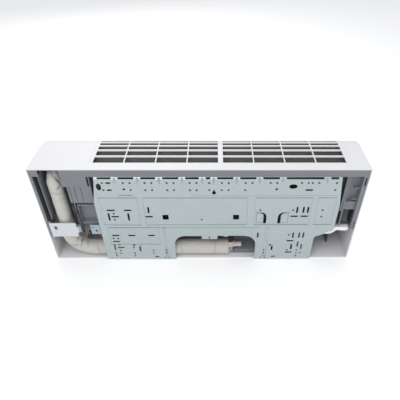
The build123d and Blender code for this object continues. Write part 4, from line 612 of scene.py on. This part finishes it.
# the boxes of painted shade, with the fainter ones lower down between the plate's feet
for boxes, strength in ((SHADE_BOXES, 0.9), ([FAINT_SHADE_BOX], 0.6), ([DEEPER_SHADE_BOX], 0.7)):
    darken_where(grey_chassis, boxes, "Inside", PAINTED_SHADE_BLACK, strength)
print("felt patches", len(SHADE_BOXES) + 2)

# %% [markdown]
# ## Woven things
# The tape round the pipes and the mesh of the air filters are both a plain weave. The group lays two
# sets of threads across each other, a chosen distance apart. It gives a height that is one on a thread
# and falls to nothing halfway to the next.

# %% Plain weave
weave, weave_in, weave_out = shader_group(
    "plain_weave", [("Vector", VECTOR, None), ("Thread Pitch", VALUE, 0.001)], [("Height", VALUE)])
per_thread = add(weave, "ShaderNodeMath", {0: 1.0}, operation="DIVIDE")
threads = add(weave, "ShaderNodeVectorMath", operation="SCALE")
counted = add(weave, "ShaderNodeSeparateXYZ")
nearest = add(weave, "ShaderNodeMath", operation="MINIMUM")
weave_height = add(weave, "ShaderNodeMath", {1: -2.0, 2: 1.0}, operation="MULTIPLY_ADD")
wire(weave, (weave_in.outputs["Thread Pitch"], per_thread.inputs[1]),
     (weave_in.outputs["Vector"], threads.inputs[0]), (per_thread.outputs[0], threads.inputs["Scale"]),
     (threads.outputs[0], counted.inputs[0]))
for index, axis in enumerate("XY"):
    to_thread = add(weave, "ShaderNodeMath", {1: 0.5}, operation="PINGPONG")
    wire(weave, (counted.outputs[axis], to_thread.inputs[0]), (to_thread.outputs[0], nearest.inputs[index]))
wire(weave, (nearest.outputs[0], weave_height.inputs[0]),
     (weave_height.outputs[0], weave_out.inputs["Height"]))
print("group", weave.name)

# %% [markdown]
# ### Filter mesh
# The filters are a dark polypropylene mesh with threads a millimetre or two apart. From outside they are
# seen through the grille as a dim, faintly striped surface, so the weave only dents the CAD solid.

# %% Filter mesh
def woven(material, coordinates, pitch, thickness):
    """Puts threads in place of a finish's grain."""
    tree = material.node_tree
    threads_node = add(tree, "ShaderNodeGroup", node_tree=weave)
    threads_node.inputs["Thread Pitch"].default_value = pitch
    tree.nodes["bump"].inputs["Distance"].default_value = thickness
    wire(tree, (coordinates, threads_node.inputs["Vector"]),
         (threads_node.outputs["Height"], tree.nodes["bump"].inputs["Height"]))


filter_net = finish("filter_net", (0.026, 0.023, 0.024), 0.6, depth=0.3, dusty=0.1)
woven(filter_net, filter_net.node_tree.nodes["where"].outputs["Object"], pitch=0.0016, thickness=0.0003)
dress(filter_net, "air_filter_left", "air_filter_right")

# %% [markdown]
# ### Smoked lens
# The display hides behind a small smoked window in the panel. It is nearly black until it is lit, so a
# dark, very smooth plastic with a clear coat stands for it.

# %% Smoked lens
smoked_lens = finish("smoked_lens", (0.05, 0.05, 0.055), 0.12, grain_size=0.003, grain_height=0.000002,
                     depth=0.1, dusty=0.0, spread=0.02)
smoked_lens.node_tree.nodes["Principled BSDF"].inputs["Coat Weight"].default_value = 0.6
dress(smoked_lens, "display_lens")

# %% [markdown]
# ## Tools for made pieces
# Some parts are soft or finely ribbed, and their solids only keep the place. Each is made again as a mesh
# on a path. The path is straight runs joined by round bends, as a pipe bender leaves them. The tube is
# rings of points round that path. From ring to ring the starting side turns only as far as the path
# does, so the surface doesn't twist.

# %% Show a piece
def show(name, mesh, material, body, *stands_for):
    """Adds a made piece, which rides on a body and stands for solids of the frame."""
    piece = in_scene(name, mesh)
    mesh.materials.clear()
    mesh.materials.append(material)
    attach(piece, body)
    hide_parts(*stands_for)
    print(name, len(mesh.polygons), "faces")
    return piece


print("solids that made pieces can stand for", len(nodes))

# %% Bent path
def bent_line(corners, radii, step):
    """Points a step apart, along straight runs between the corners, joined by arcs of the given radii."""
    line = [corners[0]]
    for before, corner, after, radius in zip(corners, corners[1:], corners[2:], radii):
        into, out = (corner - before).normalized(), (after - corner).normalized()
        bend = into.angle(out)
        start = corner - into * radius * math.tan(bend / 2)
        centre = start + (out - into * out.dot(into)).normalized() * radius
        axis = into.cross(out).normalized()
        parts = max(4, math.ceil(bend * radius / step))
        line += [centre + Matrix.Rotation(bend * i / parts, 3, axis) @ (start - centre)
                 for i in range(parts + 1)]
    line.append(corners[-1])
    gone = [0.0]
    for a, b in zip(line, line[1:]):
        gone.append(gone[-1] + (b - a).length)
    count = round(gone[-1] / step)
    spaced, j = [], 0
    for i in range(count + 1):
        wanted = gone[-1] * i / count
        while j < len(line) - 2 and gone[j + 1] < wanted:
            j += 1
        spaced.append(line[j].lerp(line[j + 1], (wanted - gone[j]) / max(gone[j + 1] - gone[j], 1e-9)))
    return spaced


one_bend = bent_line([place(0, 0, 0), place(100, 0, 0), place(100, 100, 0)], (20 * MM,), step=5 * MM)
print("points round one bend", len(one_bend))

# %% Rings along a path
# a tube's rounded end: how wide each ring is, as a share, and how many millimetres it lies beyond the end
ROUNDED_END = ((0.22, 1.4), (0.6, 1.3), (0.88, 0.9), (0.97, 0.3))


def rings_along(spaced, normal):
    """Each ring's place, the ways ahead and to angle zero, the length gone, and its width as a share."""
    last = len(spaced) - 1
    step = (spaced[1] - spaced[0]).length
    direction = (spaced[1] - spaced[0]).normalized()
    frames = []
    for i, spot in enumerate(spaced):
        ahead = (spaced[min(i + 1, last)] - spaced[max(i - 1, 0)]).normalized()
        normal = direction.rotation_difference(ahead) @ normal
        direction = ahead
        frames.append((spot, ahead, normal, i * step))
    first, final = frames[0], frames[-1]
    rings = [(first[0] - first[1] * push * MM, *first[1:], share) for share, push in ROUNDED_END]
    rings += [(*frame, 1.0) for frame in frames]
    rings += [(final[0] + final[1] * push * MM, *final[1:], share) for share, push in reversed(ROUNDED_END)]
    return rings


print("rings round one bend", len(rings_along(one_bend, Vector((0, 1, 0)))))

# %% Tube round a path
def tube_faces(rings, around):
    """The vertices of each face, and the entries in the list of UV places that its corners take."""
    faces, corners = [], []
    for i in range(rings - 1):
        for k in range(around):
            ring, beyond = i * around, (i + 1) * around
            faces.append((ring + k, ring + (k + 1) % around, beyond + (k + 1) % around, beyond + k))
            row, row_beyond = i * (around + 1), (i + 1) * (around + 1)
            corners += [row + k, row + k + 1, row_beyond + k + 1, row_beyond + k]
    end = (rings - 1) * around
    faces.append(tuple(reversed(range(around))))
    faces.append(tuple(range(end, end + around)))
    return faces, corners + 2 * list(range(around))


def tube(name, spaced, around, normal, radius_at):
    """A closed tube round a path. normal says which way angle zero points at its start.

    radius_at takes millimetres along the path and an angle, and gives the radius in millimetres and the
    value stored as the fold.
    """
    rings = rings_along(spaced, normal)
    vertices, folds, places = [], [], []
    for spot, ahead, zero, gone, share in rings:
        side = ahead.cross(zero)
        for k in range(around + 1):
            angle = math.tau * k / around
            radius, fold = radius_at(gone / MM, angle % math.tau)
            if k < around:
                outwards = zero * math.cos(angle) + side * math.sin(angle)
                vertices.append(spot + outwards * radius * share * MM)
                folds.append(fold)
            places.append((angle * radius * MM, gone))
    faces, corners = tube_faces(len(rings), around)
    mesh = bpy.data.meshes.new(name)
    mesh.from_pydata(vertices, [], faces)
    layer = mesh.uv_layers.new(name="along")
    for loop, corner in zip(layer.data, corners):
        loop.uv = places[corner]
    fold_layer = mesh.attributes.new("fold", "FLOAT", "POINT")
    fold_layer.data.foreach_set("value", folds)
    mesh.shade_smooth()
    mesh.update()
    return mesh


print("faces of three rings of eight", len(tube_faces(3, 8)[0]))

# %% [markdown]
# ### The wrapped pipes
# Two refrigerant pipes in foam sleeves leave the unit together under a pale cloth tape. The tape is
# wound in a spiral, so each turn ends in a low step, and where the bundle bends the foam buckles into
# folds. The clamp squeezes it to a neck, and the plate's foot presses it flat on that side. The mesh
# carries all of this in its radius. A value stored on each vertex tells the material where a fold is,
# so that shade can be painted into the fold.

# %% Folds of the bundle
BUNDLE_DEPTH, BUNDLE_HEIGHT = 25.6, 25.5        # of its middle, along the recess
BUNDLE_X, BUNDLE_END = 354, -71
BUNDLE_PATH = [place(BUNDLE_X, 88, 265), place(BUNDLE_X, BUNDLE_DEPTH, 265),
               place(BUNDLE_X, BUNDLE_DEPTH, BUNDLE_HEIGHT), place(BUNDLE_END, BUNDLE_DEPTH, BUNDLE_HEIGHT)]
BUNDLE_BENDS = (27 * MM, 60 * MM)
# each fold: where it starts and ends, as millimetres along and degrees round, then its depth and width
FOLDS = [(46, 300, 64, 236, 1.1, 2.2), (60, 246, 72, 196, 2.6, 1.7), (72, 196, 84, 246, 2.0, 1.6),
         (90, 318, 98, 215, 0.9, 2.4), (78, 330, 84, 280, 0.7, 2.0), (112, 250, 118, 190, 0.5, 2.5),
         (42, 60, 46, 120, 2.4, 2.0), (52, 50, 55, 130, 3.0, 2.2), (63, 55, 64, 125, 2.6, 2.0),
         (73, 60, 76, 120, 2.4, 2.0), (246, 160, 262, 235, 1.1, 3.2), (268, 150, 284, 250, 1.4, 3.4),
         (296, 160, 304, 240, 0.8, 3.4), (262, 300, 274, 240, 0.9, 3.0), (330, 200, 344, 300, 0.6, 3.0),
         (470, 190, 480, 300, 0.5, 3.5), (560, 200, 566, 320, 0.5, 3.0), (655, 180, 652, 300, 0.6, 3.0)]
FOLD_REACH = 4      # beyond this many widths a fold is too faint to matter


def fold_depth(along, angle, radius):
    """How deep the deepest fold is at a point of the surface, in millimetres."""
    deep = 0.0
    for s0, a0, s1, a1, depth, width in FOLDS:
        if not min(s0, s1) - FOLD_REACH * width < along < max(s0, s1) + FOLD_REACH * width:
            continue
        start = Vector((s0, math.radians(a0) * radius))
        run = Vector((s1, math.radians(a1) * radius)) - start
        here = Vector((along, angle * radius)) - start
        share = min(1.0, max(0.0, here.dot(run) / run.length_squared))
        gap = (here - run * share).length / width
        towards_ends = math.sin(math.pi * (0.12 + 0.76 * share))    # a fold is shallower at its two ends
        deep = max(deep, depth * towards_ends * math.exp(-gap * gap))
    return deep


print("folds", len(FOLDS))

# %% Shape of the bundle
NECK, GIRTH = 17.2, 21.3        # its radius up to the clamp and beyond
CLAMPED, NECK_SLOPE = 207.0, 60     # along the path: the clamp's place, and how long the change takes
LUMP_LENGTH = 28.0
LUMP_HEIGHT, FINE_LUMP_HEIGHT = 0.7, 0.25
TAPE_TURN = 30.0                # millimetres along for one turn of the tape
TAPE_STEP, STEP_SHARE = 0.35, 0.05      # the step's height, and the share of a turn in which it rises
PRESSED = (382, 22, 506, 24)    # along: where the plate's foot starts and stops, each with its slope
FREE_REACH, PRESSED_REACH = 24.5, 13.5      # how far towards the wall it can swell
WALL_SIDE = 0.3                 # a point that looks this much at the wall, or more, can be held back
FOLD_SHOWN, DARKEST_FOLD = 0.75, 2.0        # the share of a fold's depth that is modelled, and the
                                            # depth from which it is darkest


def smooth_step(share):
    share = min(1.0, max(0.0, share))
    return share * share * (3 - 2 * share)


def bundle_radius(along, angle):
    """The radius in millimetres, and how dark a fold is there."""
    radius = NECK + (GIRTH - NECK) * smooth_step((along - CLAMPED + NECK_SLOPE / 2) / NECK_SLOPE)
    spot = Vector((math.cos(angle) * 0.8, math.sin(angle) * 0.8, along / LUMP_LENGTH))
    radius += LUMP_HEIGHT * noise.noise(spot) + FINE_LUMP_HEIGHT * noise.noise(spot * 3.1)
    turn = (along / TAPE_TURN + angle / math.tau) % 1.0
    radius += TAPE_STEP * min(1.0, turn / STEP_SHARE) * (1.0 - 0.8 * turn)
    start, rise, stop, fall = PRESSED
    pressed = smooth_step((along - start) / rise) * smooth_step((stop - along) / fall)
    towards_wall = -math.sin(angle)
    if towards_wall > WALL_SIDE:
        radius = min(radius, (FREE_REACH - (FREE_REACH - PRESSED_REACH) * pressed) / towards_wall)
    deep = fold_depth(along, angle, radius)
    return radius - FOLD_SHOWN * deep, min(1.0, deep / DARKEST_FOLD)


bundle_line = bent_line(BUNDLE_PATH, BUNDLE_BENDS, step=1.8 * MM)
bundle_mesh = tube("wrapped_pipes", bundle_line, around=84, normal=Vector((1, 0, 0)), radius_at=bundle_radius)
print("rings along the bundle", len(bundle_line))

# %% Tape
# the colour of the painted shade in the tape's folds, deepest where a fold is deepest
FOLD_SHADE = (0.16, 0.14, 0.12)

cloth_tape = finish("cloth_tape", (0.50, 0.485, 0.45), 0.82, depth=0.14, dusty=0.1)
tree = cloth_tape.node_tree
tape_place = add(tree, "ShaderNodeUVMap", uv_map="along")
woven(cloth_tape, tape_place.outputs["UV"], pitch=0.003, thickness=0.0003)
in_fold = add(tree, "ShaderNodeAttribute", attribute_type="GEOMETRY", attribute_name="fold")
shaded_folds = laid_over(tree, tree.nodes["film"].outputs["Colour"], in_fold.outputs["Fac"], FOLD_SHADE)
wire(tree, (shaded_folds, tree.nodes["Principled BSDF"].inputs["Base Color"]))
show("wrapped_pipes", bundle_mesh, cloth_tape, "unit", "pipe_bundle")

# %% [markdown]
# ### Ends of the copper pipes
# The two pipes come out of the wrapping under their flare nuts. Short tubes keep the nuts from being
# hollow when the unit is seen from its end.

# %% Pipe ends
# each end: how far above the bundle's middle, its radius, and how far it reaches beyond the wrapping
for label, up_by, radius, reach in (("gas_pipe_end", 8.0, 4.75, 13), ("liquid_pipe_end", -12.5, 3.15, 8)):
    ends = [place(x, BUNDLE_DEPTH, BUNDLE_HEIGHT + up_by) for x in (BUNDLE_END + 5, BUNDLE_END - reach)]
    line = bent_line(ends, (), step=2 * MM)
    mesh = tube(label, line, around=24, normal=Vector((0, 0, 1)),
                radius_at=lambda along, angle: (radius, 0.0))
    show(label, mesh, copper_tube, "unit", "pipe_bundle")

# %% [markdown]
# ## Copies in a row
# A coil has hundreds of fins, all alike, at an even spacing. One fin is made as a thin plate, and a
# Geometry Nodes tree sets it out along a line. The copies are realised inside the tree, because the piece
# has to end as one plain mesh, and the modifier is gone before the piece joins the model.

# %% Row of copies
def node_tree(name, inputs):
    made = bpy.data.node_groups.new(name, "GeometryNodeTree")
    made.interface.new_socket("Geometry", in_out="INPUT", socket_type="NodeSocketGeometry")
    for label, kind in inputs:
        made.interface.new_socket(label, in_out="INPUT", socket_type=kind)
    made.interface.new_socket("Geometry", in_out="OUTPUT", socket_type="NodeSocketGeometry")
    return made, add(made, "NodeGroupInput"), add(made, "NodeGroupOutput")


def finish_tree(made, given, result, geometry):
    realise = add(made, "GeometryNodeRealizeInstances")
    painted = add(made, "GeometryNodeSetMaterial")
    wire(made, (geometry, realise.inputs["Geometry"]),
         (realise.outputs["Geometry"], painted.inputs["Geometry"]),
         (given.outputs["Finish"], painted.inputs["Material"]),
         (painted.outputs["Geometry"], result.inputs["Geometry"]))


def plain_mesh(holder):
    """The mesh that an object's modifiers or curve settings leave. The object itself is taken away."""
    graph = bpy.context.evaluated_depsgraph_get()
    mesh = bpy.data.meshes.new_from_object(holder.evaluated_get(graph), depsgraph=graph)
    holder.modifiers.clear()
    bpy.data.objects.remove(holder)
    return mesh


def grow(name, base_mesh, made, values, body, *stands_for):
    """Runs a tree on a mesh once and keeps the plain mesh that comes out."""
    carrier = in_scene(name + "_carrier", base_mesh)
    modifier = carrier.modifiers.new("made", "NODES")
    modifier.node_group = made
    for item in made.interface.items_tree:
        if item.in_out == "INPUT" and item.name in values:
            modifier[item.identifier] = values[item.name]
    mesh = plain_mesh(carrier)
    mesh.polygons.foreach_set("material_index", [0] * len(mesh.polygons))
    return show(name, mesh, values["Finish"], body, *stands_for)


row_tree, row_in, row_out = node_tree(
    "row_of_copies",
    [("Count", "NodeSocketInt"), ("Offset", "NodeSocketVector"), ("Finish", "NodeSocketMaterial")])
row_line = add(row_tree, "GeometryNodeMeshLine", mode="OFFSET")
copies = add(row_tree, "GeometryNodeInstanceOnPoints")
wire(row_tree, (row_in.outputs["Count"], row_line.inputs["Count"]),
     (row_in.outputs["Offset"], row_line.inputs["Offset"]),
     (row_line.outputs["Mesh"], copies.inputs["Points"]),
     (row_in.outputs["Geometry"], copies.inputs["Instance"]))
finish_tree(row_tree, row_in, row_out, copies.outputs["Instances"])
print("tree", row_tree.name)

# %% [markdown]
# ### Fins
# The real aluminium fins are a tenth of a millimetre thick and stand about 1.5 mm apart. These are twice
# as thick, so that they don't vanish in a picture. The plate's outline comes from the end face of the
# CAD slab, so the stack fills the same space, and the tubes run through it.

# %% Fins
FIN_PITCH = 1.55 * MM
FIN_THICKNESS = 0.22 * MM
SAME_PLACE = 0.01 * MM


def fin_plate(name):
    """One thin plate, with the outline of the slab's end face."""
    solid = nodes[name].data
    low = min(vertex.co.x for vertex in solid.vertices)
    flat = [Vector((v.co.y, v.co.z)) for v in solid.vertices if v.co.x < low + SAME_PLACE]
    rim = [flat[i] for i in geometry.convex_hull_2d(flat)]
    corners = [rim[i] for i in range(len(rim)) if (rim[i] - rim[i - 1]).length > SAME_PLACE]
    shape = bmesh.new()
    sides = [[shape.verts.new((low + x, y, z)) for y, z in corners] for x in (0.0, FIN_THICKNESS)]
    shape.faces.new(sides[0])
    shape.faces.new(sides[1])
    for i in range(len(corners)):
        shape.faces.new((sides[0][i - 1], sides[0][i], sides[1][i], sides[1][i - 1]))
    bmesh.ops.recalc_face_normals(shape, faces=shape.faces)
    plate = bpy.data.meshes.new("fin_plate")
    shape.to_mesh(plate)
    shape.free()
    return plate


for name in ("coil_fins_front", "coil_fins_top", "coil_fins_rear"):
    low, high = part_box(name)
    count = int((high.x - low.x - FIN_THICKNESS) / FIN_PITCH) + 1
    grow(name.replace("coil_fins", "fin_stack"), fin_plate(name), row_tree,
         {"Count": count, "Offset": (FIN_PITCH, 0, 0), "Finish": fin_aluminium}, "unit", name)

# %% [markdown]
# ### Drain hose
# The hose is a corrugated plastic tube, so that it bends without kinking. Along its path the radius
# follows a sine wave, which a Geometry Nodes tree works out from the length gone along the curve.

# %% Drain hose
hose_tree, hose_in, hose_out = node_tree(
    "ribbed_hose",
    [("Radius", "NodeSocketFloat"), ("Rib Pitch", "NodeSocketFloat"), ("Rib Height", "NodeSocketFloat"),
     ("Finish", "NodeSocketMaterial")])
centre = add(hose_tree, "GeometryNodeMeshToCurve")
gone = add(hose_tree, "GeometryNodeSplineParameter")
turns = add(hose_tree, "ShaderNodeMath", operation="DIVIDE")
angle = add(hose_tree, "ShaderNodeMath", {1: math.tau}, operation="MULTIPLY")
wave = add(hose_tree, "ShaderNodeMath", operation="SINE")
rib = add(hose_tree, "ShaderNodeMath", operation="MULTIPLY_ADD")
profile = add(hose_tree, "GeometryNodeCurvePrimitiveCircle", {"Resolution": 28, "Radius": 1.0})
skin = add(hose_tree, "GeometryNodeCurveToMesh", {"Fill Caps": True})
wire(hose_tree, (hose_in.outputs["Geometry"], centre.inputs["Mesh"]),
     (gone.outputs["Length"], turns.inputs[0]), (hose_in.outputs["Rib Pitch"], turns.inputs[1]),
     (turns.outputs[0], angle.inputs[0]), (angle.outputs[0], wave.inputs[0]),
     (wave.outputs[0], rib.inputs[0]), (hose_in.outputs["Rib Height"], rib.inputs[1]),
     (hose_in.outputs["Radius"], rib.inputs[2]),
     (centre.outputs["Curve"], skin.inputs["Curve"]), (rib.outputs[0], skin.inputs["Scale"]),
     (profile.outputs["Curve"], skin.inputs["Profile Curve"]))
finish_tree(hose_tree, hose_in, hose_out, skin.outputs["Mesh"])
print("tree", hose_tree.name)

# %% Hose in place
def line_mesh(name, points):
    mesh = bpy.data.meshes.new(name)
    mesh.from_pydata(points, [(i, i + 1) for i in range(len(points) - 1)], [])
    return mesh


hose_plastic = finish("hose_plastic", (0.62, 0.62, 0.60), 0.5, grain_height=0.00003, depth=0.1)
HOSE_PATH = [place(269.5, 163, 84), place(298, 163, 84), place(298, 80, 14), place(215, 80, 14)]
hose_points = bent_line(HOSE_PATH, (18 * MM, 18 * MM), step=0.7 * MM)
HOSE_SIZES = {"Radius": 7.4 * MM, "Rib Pitch": 4.2 * MM, "Rib Height": 0.55 * MM}
hose = grow("ribbed_hose", line_mesh("hose_line", hose_points), hose_tree,
            {**HOSE_SIZES, "Finish": hose_plastic}, "unit", "drain_hose")
hose.data.shade_smooth()

# %% [markdown]
# ### Screws
# Pan-head screws with a cross recess hold the motor's clamp and the coil's end plates. The head is a spun
# dome whose middle is pressed in along a cross. Geometry Nodes puts one on each place, turned as the
# place's own value says.

# %% Screw
# the screw's profile, as millimetres along and radius, with the underside of the head at zero
SCREW_ROWS = [(-5.5, 0.4), (-5.0, 1.45), (0.0, 1.45), (0.0, 3.4), (0.7, 3.35), (1.3, 2.9), (1.65, 2.1),
              (1.8, 1.7), (1.8, 0.9), (1.8, 0.35)]
SCREW_SIDES = 32
CROSS_DEPTH, CROSS_HALF_WIDTH, CROSS_REACH = 0.9, 0.36, 1.8
HEAD_TOP = 1.7      # rows beyond this can be pressed in


def screw_mesh():
    """One screw along +X."""
    shape = bmesh.new()
    rings = []
    for along, radius in SCREW_ROWS:
        ring = []
        for k in range(SCREW_SIDES):
            angle = math.tau * k / SCREW_SIDES
            y, z = radius * math.cos(angle), radius * math.sin(angle)
            across, out = sorted((abs(y), abs(z)))
            in_cross = along > HEAD_TOP and across < CROSS_HALF_WIDTH and out < CROSS_REACH
            ring.append(shape.verts.new(Vector((along - (CROSS_DEPTH if in_cross else 0.0), y, z)) * MM))
        rings.append(ring)
    for a, b in zip(rings, rings[1:]):
        for k in range(SCREW_SIDES):
            shape.faces.new((a[k - 1], a[k], b[k], b[k - 1]))
    shape.faces.new(rings[0])
    shape.faces.new(rings[-1])
    bmesh.ops.recalc_face_normals(shape, faces=shape.faces)
    mesh = bpy.data.meshes.new("screw")
    shape.to_mesh(mesh)
    shape.free()
    return mesh


screw_tree, screw_in, screw_out = node_tree(
    "screws_on_places", [("Screw", "NodeSocketObject"), ("Finish", "NodeSocketMaterial")])
screw_shape = add(screw_tree, "GeometryNodeObjectInfo")
facing = add(screw_tree, "GeometryNodeInputNamedAttribute", {"Name": "turn"}, data_type="FLOAT_VECTOR")
placed = add(screw_tree, "GeometryNodeInstanceOnPoints")
wire(screw_tree, (screw_in.outputs["Screw"], screw_shape.inputs["Object"]),
     (screw_in.outputs["Geometry"], placed.inputs["Points"]),
     (screw_shape.outputs["Geometry"], placed.inputs["Instance"]),
     (facing.outputs["Attribute"], placed.inputs["Rotation"]))
finish_tree(screw_tree, screw_in, screw_out, placed.outputs["Instances"])
print("tree", screw_tree.name)

# %% Screws in place
# each screw: x, depth and height of its seat, and 1 where it points the other way
SCREWS = [(268.5, 100, 71.5, 0), (268.5, 100, 160.5, 0), (265.7, 44, 177, 0), (265.7, 141.5, 94, 0),
          (-357.7, 44, 177, 1), (-357.7, 141.5, 94, 1)]
TIGHTENED = 0.3     # radians that each cross is turned further than the one before

places = line_mesh("screw_places", [place(*screw[:3]) for screw in SCREWS])
turn_layer = places.attributes.new("turn", "FLOAT_VECTOR", "POINT")
for i, screw in enumerate(SCREWS):
    turn_layer.data[i].vector = (TIGHTENED * i, 0, math.pi * screw[3])
zinc_screw = metal("zinc_screw", (0.60, 0.60, 0.62), 0.3, (3000, 60, 60))
pattern_screw = in_scene("pattern_screw", screw_mesh())
grow("cross_head_screws", places, screw_tree, {"Screw": pattern_screw, "Finish": zinc_screw}, "unit",
     "pan_head_screws")
bpy.data.objects.remove(pattern_screw)

# %% [markdown]
# ### Leads
# Four thin leads run past the pipe channel: two dark ones to the coil's sensors, and two brown cores that
# hang beside the bracket and end on the bundle. A curve with a round bevel bends like a real lead, which
# holds no sharp corner.

# %% Leads
dark_lead = finish("dark_lead", (0.05, 0.052, 0.06), 0.45, grain_height=0.00001)
brown_lead = finish("brown_lead", (0.135, 0.115, 0.10), 0.5, grain_height=0.00001)


def lead(name, points, radius):
    """A round lead of the given radius in millimetres, along a smooth curve near the points."""
    curve = bpy.data.curves.new(name, "CURVE")
    curve.dimensions = "3D"
    curve.bevel_depth = radius * MM
    curve.bevel_resolution = 3
    curve.use_fill_caps = True
    spline = curve.splines.new("NURBS")
    spline.points.add(len(points) - 1)
    for point, spot in zip(spline.points, points):
        point.co = (*spot, 1.0)
    spline.order_u = 3
    spline.use_endpoint_u = True
    spline.resolution_u = 10
    mesh = plain_mesh(in_scene(name, curve))
    mesh.shade_smooth()
    return mesh


LEAD_RADIUS = 1.1

for i in range(2):
    x = 310 - 3 * i
    path = [(x + 9.5, 34, 182), (x + 9.5, 5.5, 184), (x + 8, 5.5, 172), (x, 5.5, 158), (x, 5.5, 120),
            (x, 5.5, 96), (x, 16, 90)]
    mesh = lead("sensor_lead", [place(*spot) for spot in path], LEAD_RADIUS)
    show(f"sensor_lead_{i + 1}", mesh, dark_lead, "unit", "sensor_wires")
    x = 297.5 + 3.5 * i
    path = [(x, 14, 118), (x, 2.8, 112), (x, 2.8, 99), (x + 4, 2.2, 88), (x + 11, 1.8, 79),
            (x + 17, 1.8, 72), (x + 20, 2.0, 67 + 3 * i)]
    mesh = lead("brown_core", [place(*spot) for spot in path], LEAD_RADIUS)
    show(f"brown_core_{i + 1}", mesh, brown_lead, "unit", "sensor_wires")

# %% [markdown]
# ### Foam strip
# A strip of white foam seals the end of the recess. It was torn and pushed in by hand, so its faces are
# uneven. The CAD solid is copied, remeshed fine enough to bend, and pushed about by smooth noise.

# %% Foam strip
FOAM_VOXEL = 1.4 * MM
SMOOTHINGS = 3
DENT, FINE_DENT = 1.3, 0.6      # millimetres


def foam_mesh():
    loose = bmesh.new()
    loose.from_mesh(nodes["drain_foam"].data)
    bmesh.ops.remove_doubles(loose, verts=loose.verts, dist=1e-6)
    mesh = bpy.data.meshes.new("foam")
    loose.to_mesh(mesh)
    loose.free()
    holder = in_scene("foam", mesh)
    fine = holder.modifiers.new("fine", "REMESH")
    fine.mode = "VOXEL"
    fine.voxel_size = FOAM_VOXEL
    made = plain_mesh(holder)
    shape = bmesh.new()
    shape.from_mesh(made)
    for _ in range(SMOOTHINGS):
        bmesh.ops.smooth_vert(shape, verts=shape.verts, factor=0.5,
                              use_axis_x=True, use_axis_y=True, use_axis_z=True)
    shape.normal_update()
    for vertex in shape.verts:
        push = DENT * noise.noise(vertex.co * 70) + FINE_DENT * noise.noise(vertex.co * 210)
        vertex.co += vertex.normal * push * MM
    shape.to_mesh(made)
    shape.free()
    made.shade_smooth()
    return made


white_foam = finish("white_foam", (0.84, 0.82, 0.84), 0.85, grain_size=0.0012, grain_height=0.0002,
                    dusty=0.03)
show("torn_foam", foam_mesh(), white_foam, "unit", "drain_foam")
